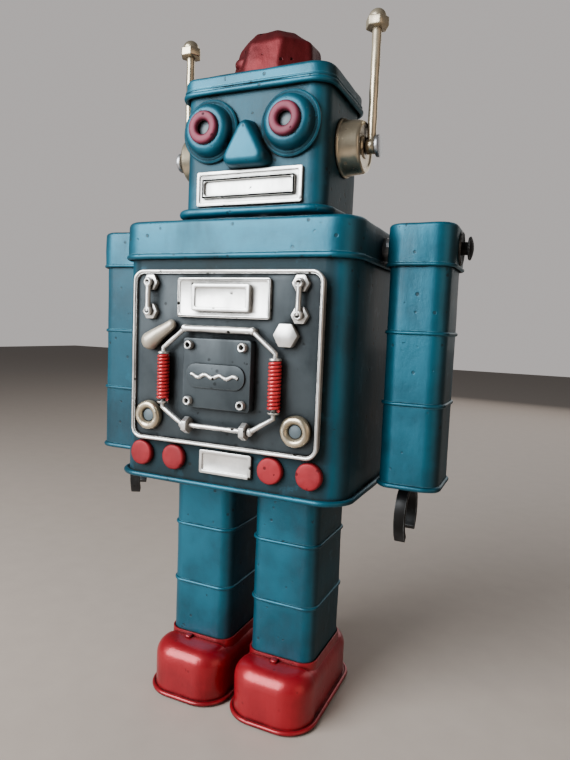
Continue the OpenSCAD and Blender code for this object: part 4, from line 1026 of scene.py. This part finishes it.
cone_paint = painted("cone_metal", metallic=0.55, bump=0.0005, paint=(0.50, 0.44, 0.35, 1),
                     glaze=(0.014, 0.010, 0.007, 1), worn=(0.85, 0.80, 0.72, 1), glaze_amount=1.0,
                     glaze_reach=0.006, stain=0.9, edge_wear=0.5, pits=0.5, roughness=0.38)
low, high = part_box("cone_knob")
thick, thin = 4.4 * MM, 2.3 * MM
start = Vector((low.x + thick, panel_face - 0.6 * thick, low.z + thick))
end = Vector((high.x - thin, panel_face - 0.6 * thick, high.z - thin))
way = end - start
length = way.length
outline = ([(thick * cos(a), thick * sin(a)) for a in [radians(-90 + 15 * k) for k in range(7)]]
           + [(thick + (thin - thick) * k / 5, length * k / 5) for k in range(1, 5)]
           + [(thin * cos(a), length + thin * sin(a)) for a in [radians(15 * k) for k in range(7)]])
cone = turned("cone_casting", outline, start, way, steps=40)
dented(cone, 0.5 * MM, 6 * MM)
fitted(cone, cone_paint, "champagne_metal", "torso", "cone_knob", smooth=60)

# ---- Box cover ----
# Square pressed cover painted like the panel, with four open rivets at its corners.
# A thin oval plate on it carries a wavy ridge of solder.

low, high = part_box("box_cover")
cover = framed_plate("cover_sheet", low, high, 1.5 * MM, (), 0.6 * MM)
fitted(cover, slate, "slate_paint", "torso", "box_cover")
cover_face = low.y
low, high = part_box("box_tubes")
rivet = 2.1 * MM
rivets = []
for x in (low.x + rivet, high.x - rivet):
    for z in (low.z + rivet, high.z - rivet):
        out = cover_face - low.y
        tube = turned("rivet", [(0, -1 * MM), (rivet * 0.95, -1 * MM), (rivet, out - 0.5 * MM),
                                (rivet * 0.85, out), (rivet * 0.62, out), (rivet * 0.50, out - 0.4 * MM),
                                (rivet * 0.48, -0.6 * MM), (0, -0.6 * MM)],
                      (x, cover_face, z), (0, -1, 0), steps=28)
        dented(tube, 0.35 * MM, 2 * MM)
        rivets.append(tube)
fitted(joined(*rivets, name="cover_rivets"), silver, "silver_finish", "torso", "box_tubes")
low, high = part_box("oval_plate")
oval = framed_plate("oval_sheet", low, high, (high.z - low.z) * 0.46, (), 0.3 * MM)
fitted(oval, slate, "slate_paint", "torso", "oval_plate")
low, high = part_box("wave_strip")
mid_z = (low.z + high.z) / 2
margin, swing, waves, count = 1 * MM, 0.65 * MM, 3.3, 90
wave = thick_wire("wave_solder", [(low.x + margin + (high.x - low.x - 2 * margin) * k / count, high.y,
                                   mid_z + swing * cos(2 * pi * waves * k / count))
                                  for k in range(count + 1)], 0.85 * MM)
dented(wave, 0.7 * MM, 3 * MM)
fitted(wave, silver, "silver_finish", "torso", "wave_strip")

# ---- Rods and springs ----
# Two bright rods on posts carry bent arms, and a close-wound spring hangs between the arms on each side.
# The rods are soldered and dry-brushed silver, and the springs are wound from wire and painted red.

low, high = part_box("springs")
coil = 3.0 * MM
rail_y = (low.y + high.y) / 2
spring_x = (high.x - low.x) / 2 - coil
turns = 14
pitch = (high.z - low.z) / turns
wire_r = pitch * 0.47
wound = []
for sign in (-1, 1):
    chosen()
    bpy.ops.mesh.primitive_circle_add(vertices=10, radius=wire_r, fill_type="NOTHING",
                                      location=(coil - wire_r, 0, 0), rotation=(pi / 2, 0, 0))
    spring = settled("spring")
    modified(spring, "SCREW", angle=2 * pi, steps=24, render_steps=24, iterations=turns - 1,
             screw_offset=pitch, axis="Z", use_merge_vertices=True)
    edit_mode()
    bpy.ops.mesh.select_mode(type="VERT")
    bpy.ops.mesh.select_all(action="DESELECT")
    bpy.ops.mesh.select_non_manifold()
    bpy.ops.mesh.fill_holes(sides=0)
    all_picked()
    bpy.ops.mesh.normals_make_consistent(inside=False)
    edit_mode(False)
    spring.location = (sign * spring_x, rail_y, low.z + pitch / 2)
    bpy.ops.object.transform_apply()
    wound.append(spring)
spring_red = painted("spring_enamel", metallic=0.3, coat=0.3, bump=0.0003, paint=(0.72, 0.002, 0.014, 1),
                     glaze=(0.020, 0.003, 0.003, 1), worn=(0.85, 0.55, 0.52, 1), glaze_amount=0.9,
                     glaze_reach=0.0015, stain=0.3, edge_wear=0.6, pits=0.3, roughness=0.3)
fitted(joined(*wound, name="coil_springs"), spring_red, "red_paint", "torso", "springs", smooth=70)

spring_low, spring_high = low.z, high.z
for name, node, thick, inner, level in (("upper_rod", "loop_top", 1.6 * MM, 0.60, 1),
                                        ("lower_rod", "loop_bottom", 1.15 * MM, 0.52, -1)):
    low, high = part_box(node)
    rail_z = high.z - 1.8 * MM if level > 0 else low.z + 1.65 * MM
    seat_z = spring_high + 2.9 * MM if level > 0 else spring_low - 2.9 * MM
    knee = inner * spring_x + (0 if level > 0 else 2.6 * MM)
    rods = [thick_wire("rail", [(knee * (2 * k / 12 - 1), rail_y, rail_z) for k in range(13)], thick)]
    for sign in (-1, 1):
        seat = Vector((sign * spring_x, rail_y, seat_z))
        corner = Vector((sign * knee, rail_y, rail_z))
        tail = [seat + Vector((0, 0, -level * reach)) for reach in (1.2 * MM, 5 * MM)]
        rods.append(thick_wire("arm", [corner + (seat - corner) * k / 6 for k in range(7)] + tail, 1.15 * MM))
        rods.append(turned("post", [(0, 0), (1.3 * MM, 0), (1.15 * MM, 3 * MM), (1.7 * MM, 3.4 * MM),
                                    (1.9 * MM, 4.4 * MM), (1.3 * MM, 5.4 * MM), (0, 5.7 * MM)],
                           (sign * knee, panel_face, rail_z), (0, -1, 0), soft=0.2 * MM, steps=20))
        rods.append(turned("seat", [(0, 0), (2.7 * MM, 0), (2.8 * MM, 0.5 * MM), (2.3 * MM, 1.0 * MM),
                                    (0, 1.1 * MM)],
                           (sign * spring_x, rail_y, spring_high if level > 0 else spring_low), (0, 0, level),
                           steps=28))
    for rod in rods:
        dented(rod, 0.4 * MM, 4 * MM)
    fitted(joined(*rods, name=name), silver, "silver_finish", "torso", node, smooth=60)

# ---- Ring knobs ----
# Thick rounded rings over a thin floor, each held by a screw in its middle.
# Same nickelled and tarnished metal as the ear drums.

low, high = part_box("ring_knobs")
radius = (high.z - low.z) / 2
knob_x = (high.x - low.x) / 2 - radius
tall = high.y - low.y
hole = 3.3 * MM
middle = (radius + hole) / 2
half = (radius - hole) / 2
screw_hole, floor, rim = 1.8 * MM, 1 * MM, 1.2 * MM
ring_outline = ([(screw_hole, 0), (radius - 0.3 * MM, 0)]
                + [(middle + half * cos(a), rim + (tall - rim) * sin(a) ** 0.8)
                   for a in [pi * k / 16 for k in range(17)]]
                + [(hole + 0.1 * MM, floor), (screw_hole, floor), (screw_hole, 0)])
knobs = [turned("knob", ring_outline, (sign * knob_x, high.y, (low.z + high.z) / 2), (0, -1, 0), steps=56)
         for sign in (-1, 1)]
for knob in knobs:
    dented(knob, 0.5 * MM, 5 * MM)
fitted(joined(*knobs, name="knob_rings"), champagne, "champagne_metal", "torso", "ring_knobs", smooth=60)

# ---- Buttons ----
# Four flat discs on stems that are riveted inside the torso.
# Painted in a softer, chalkier red than the shoes.

button_paint = painted("button_paint", metallic=0.35, bump=0.0005, paint=(0.30, 0.002, 0.010, 1),
                       glaze=(0.030, 0.005, 0.006, 1), worn=(0.62, 0.16, 0.16, 1), glaze_amount=0.8,
                       glaze_reach=0.003, stain=0.25, edge_wear=0.8, pits=0.7, roughness=0.55)
low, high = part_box("buttons")
radius = (high.z - low.z) / 2
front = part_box("torso_shell")[0].y
spread = high.x - radius
inner_x = spread * 26.7 / 46.2
thick = front - low.y
stem_r, stem_end = 1.9 * MM, -3.5 * MM
buttons = []
for x in (-spread, -inner_x, inner_x, spread):
    disc = turned("button", [(0, stem_end), (stem_r, stem_end), (stem_r, 0), (radius - 0.3 * MM, 0),
                             (radius, 0.5 * MM), (radius - 0.1 * MM, thick - 0.7 * MM),
                             (radius - 0.7 * MM, thick - 0.1 * MM), (radius * 0.6, thick), (0, thick)],
                  (x, front, (low.z + high.z) / 2), (0, -1, 0), soft=0.25 * MM)
    dented(disc, 0.4 * MM, 5 * MM)
    buttons.append(disc)
fitted(joined(*buttons, name="push_buttons"), button_paint, "button_paint", "torso", "buttons", smooth=50)
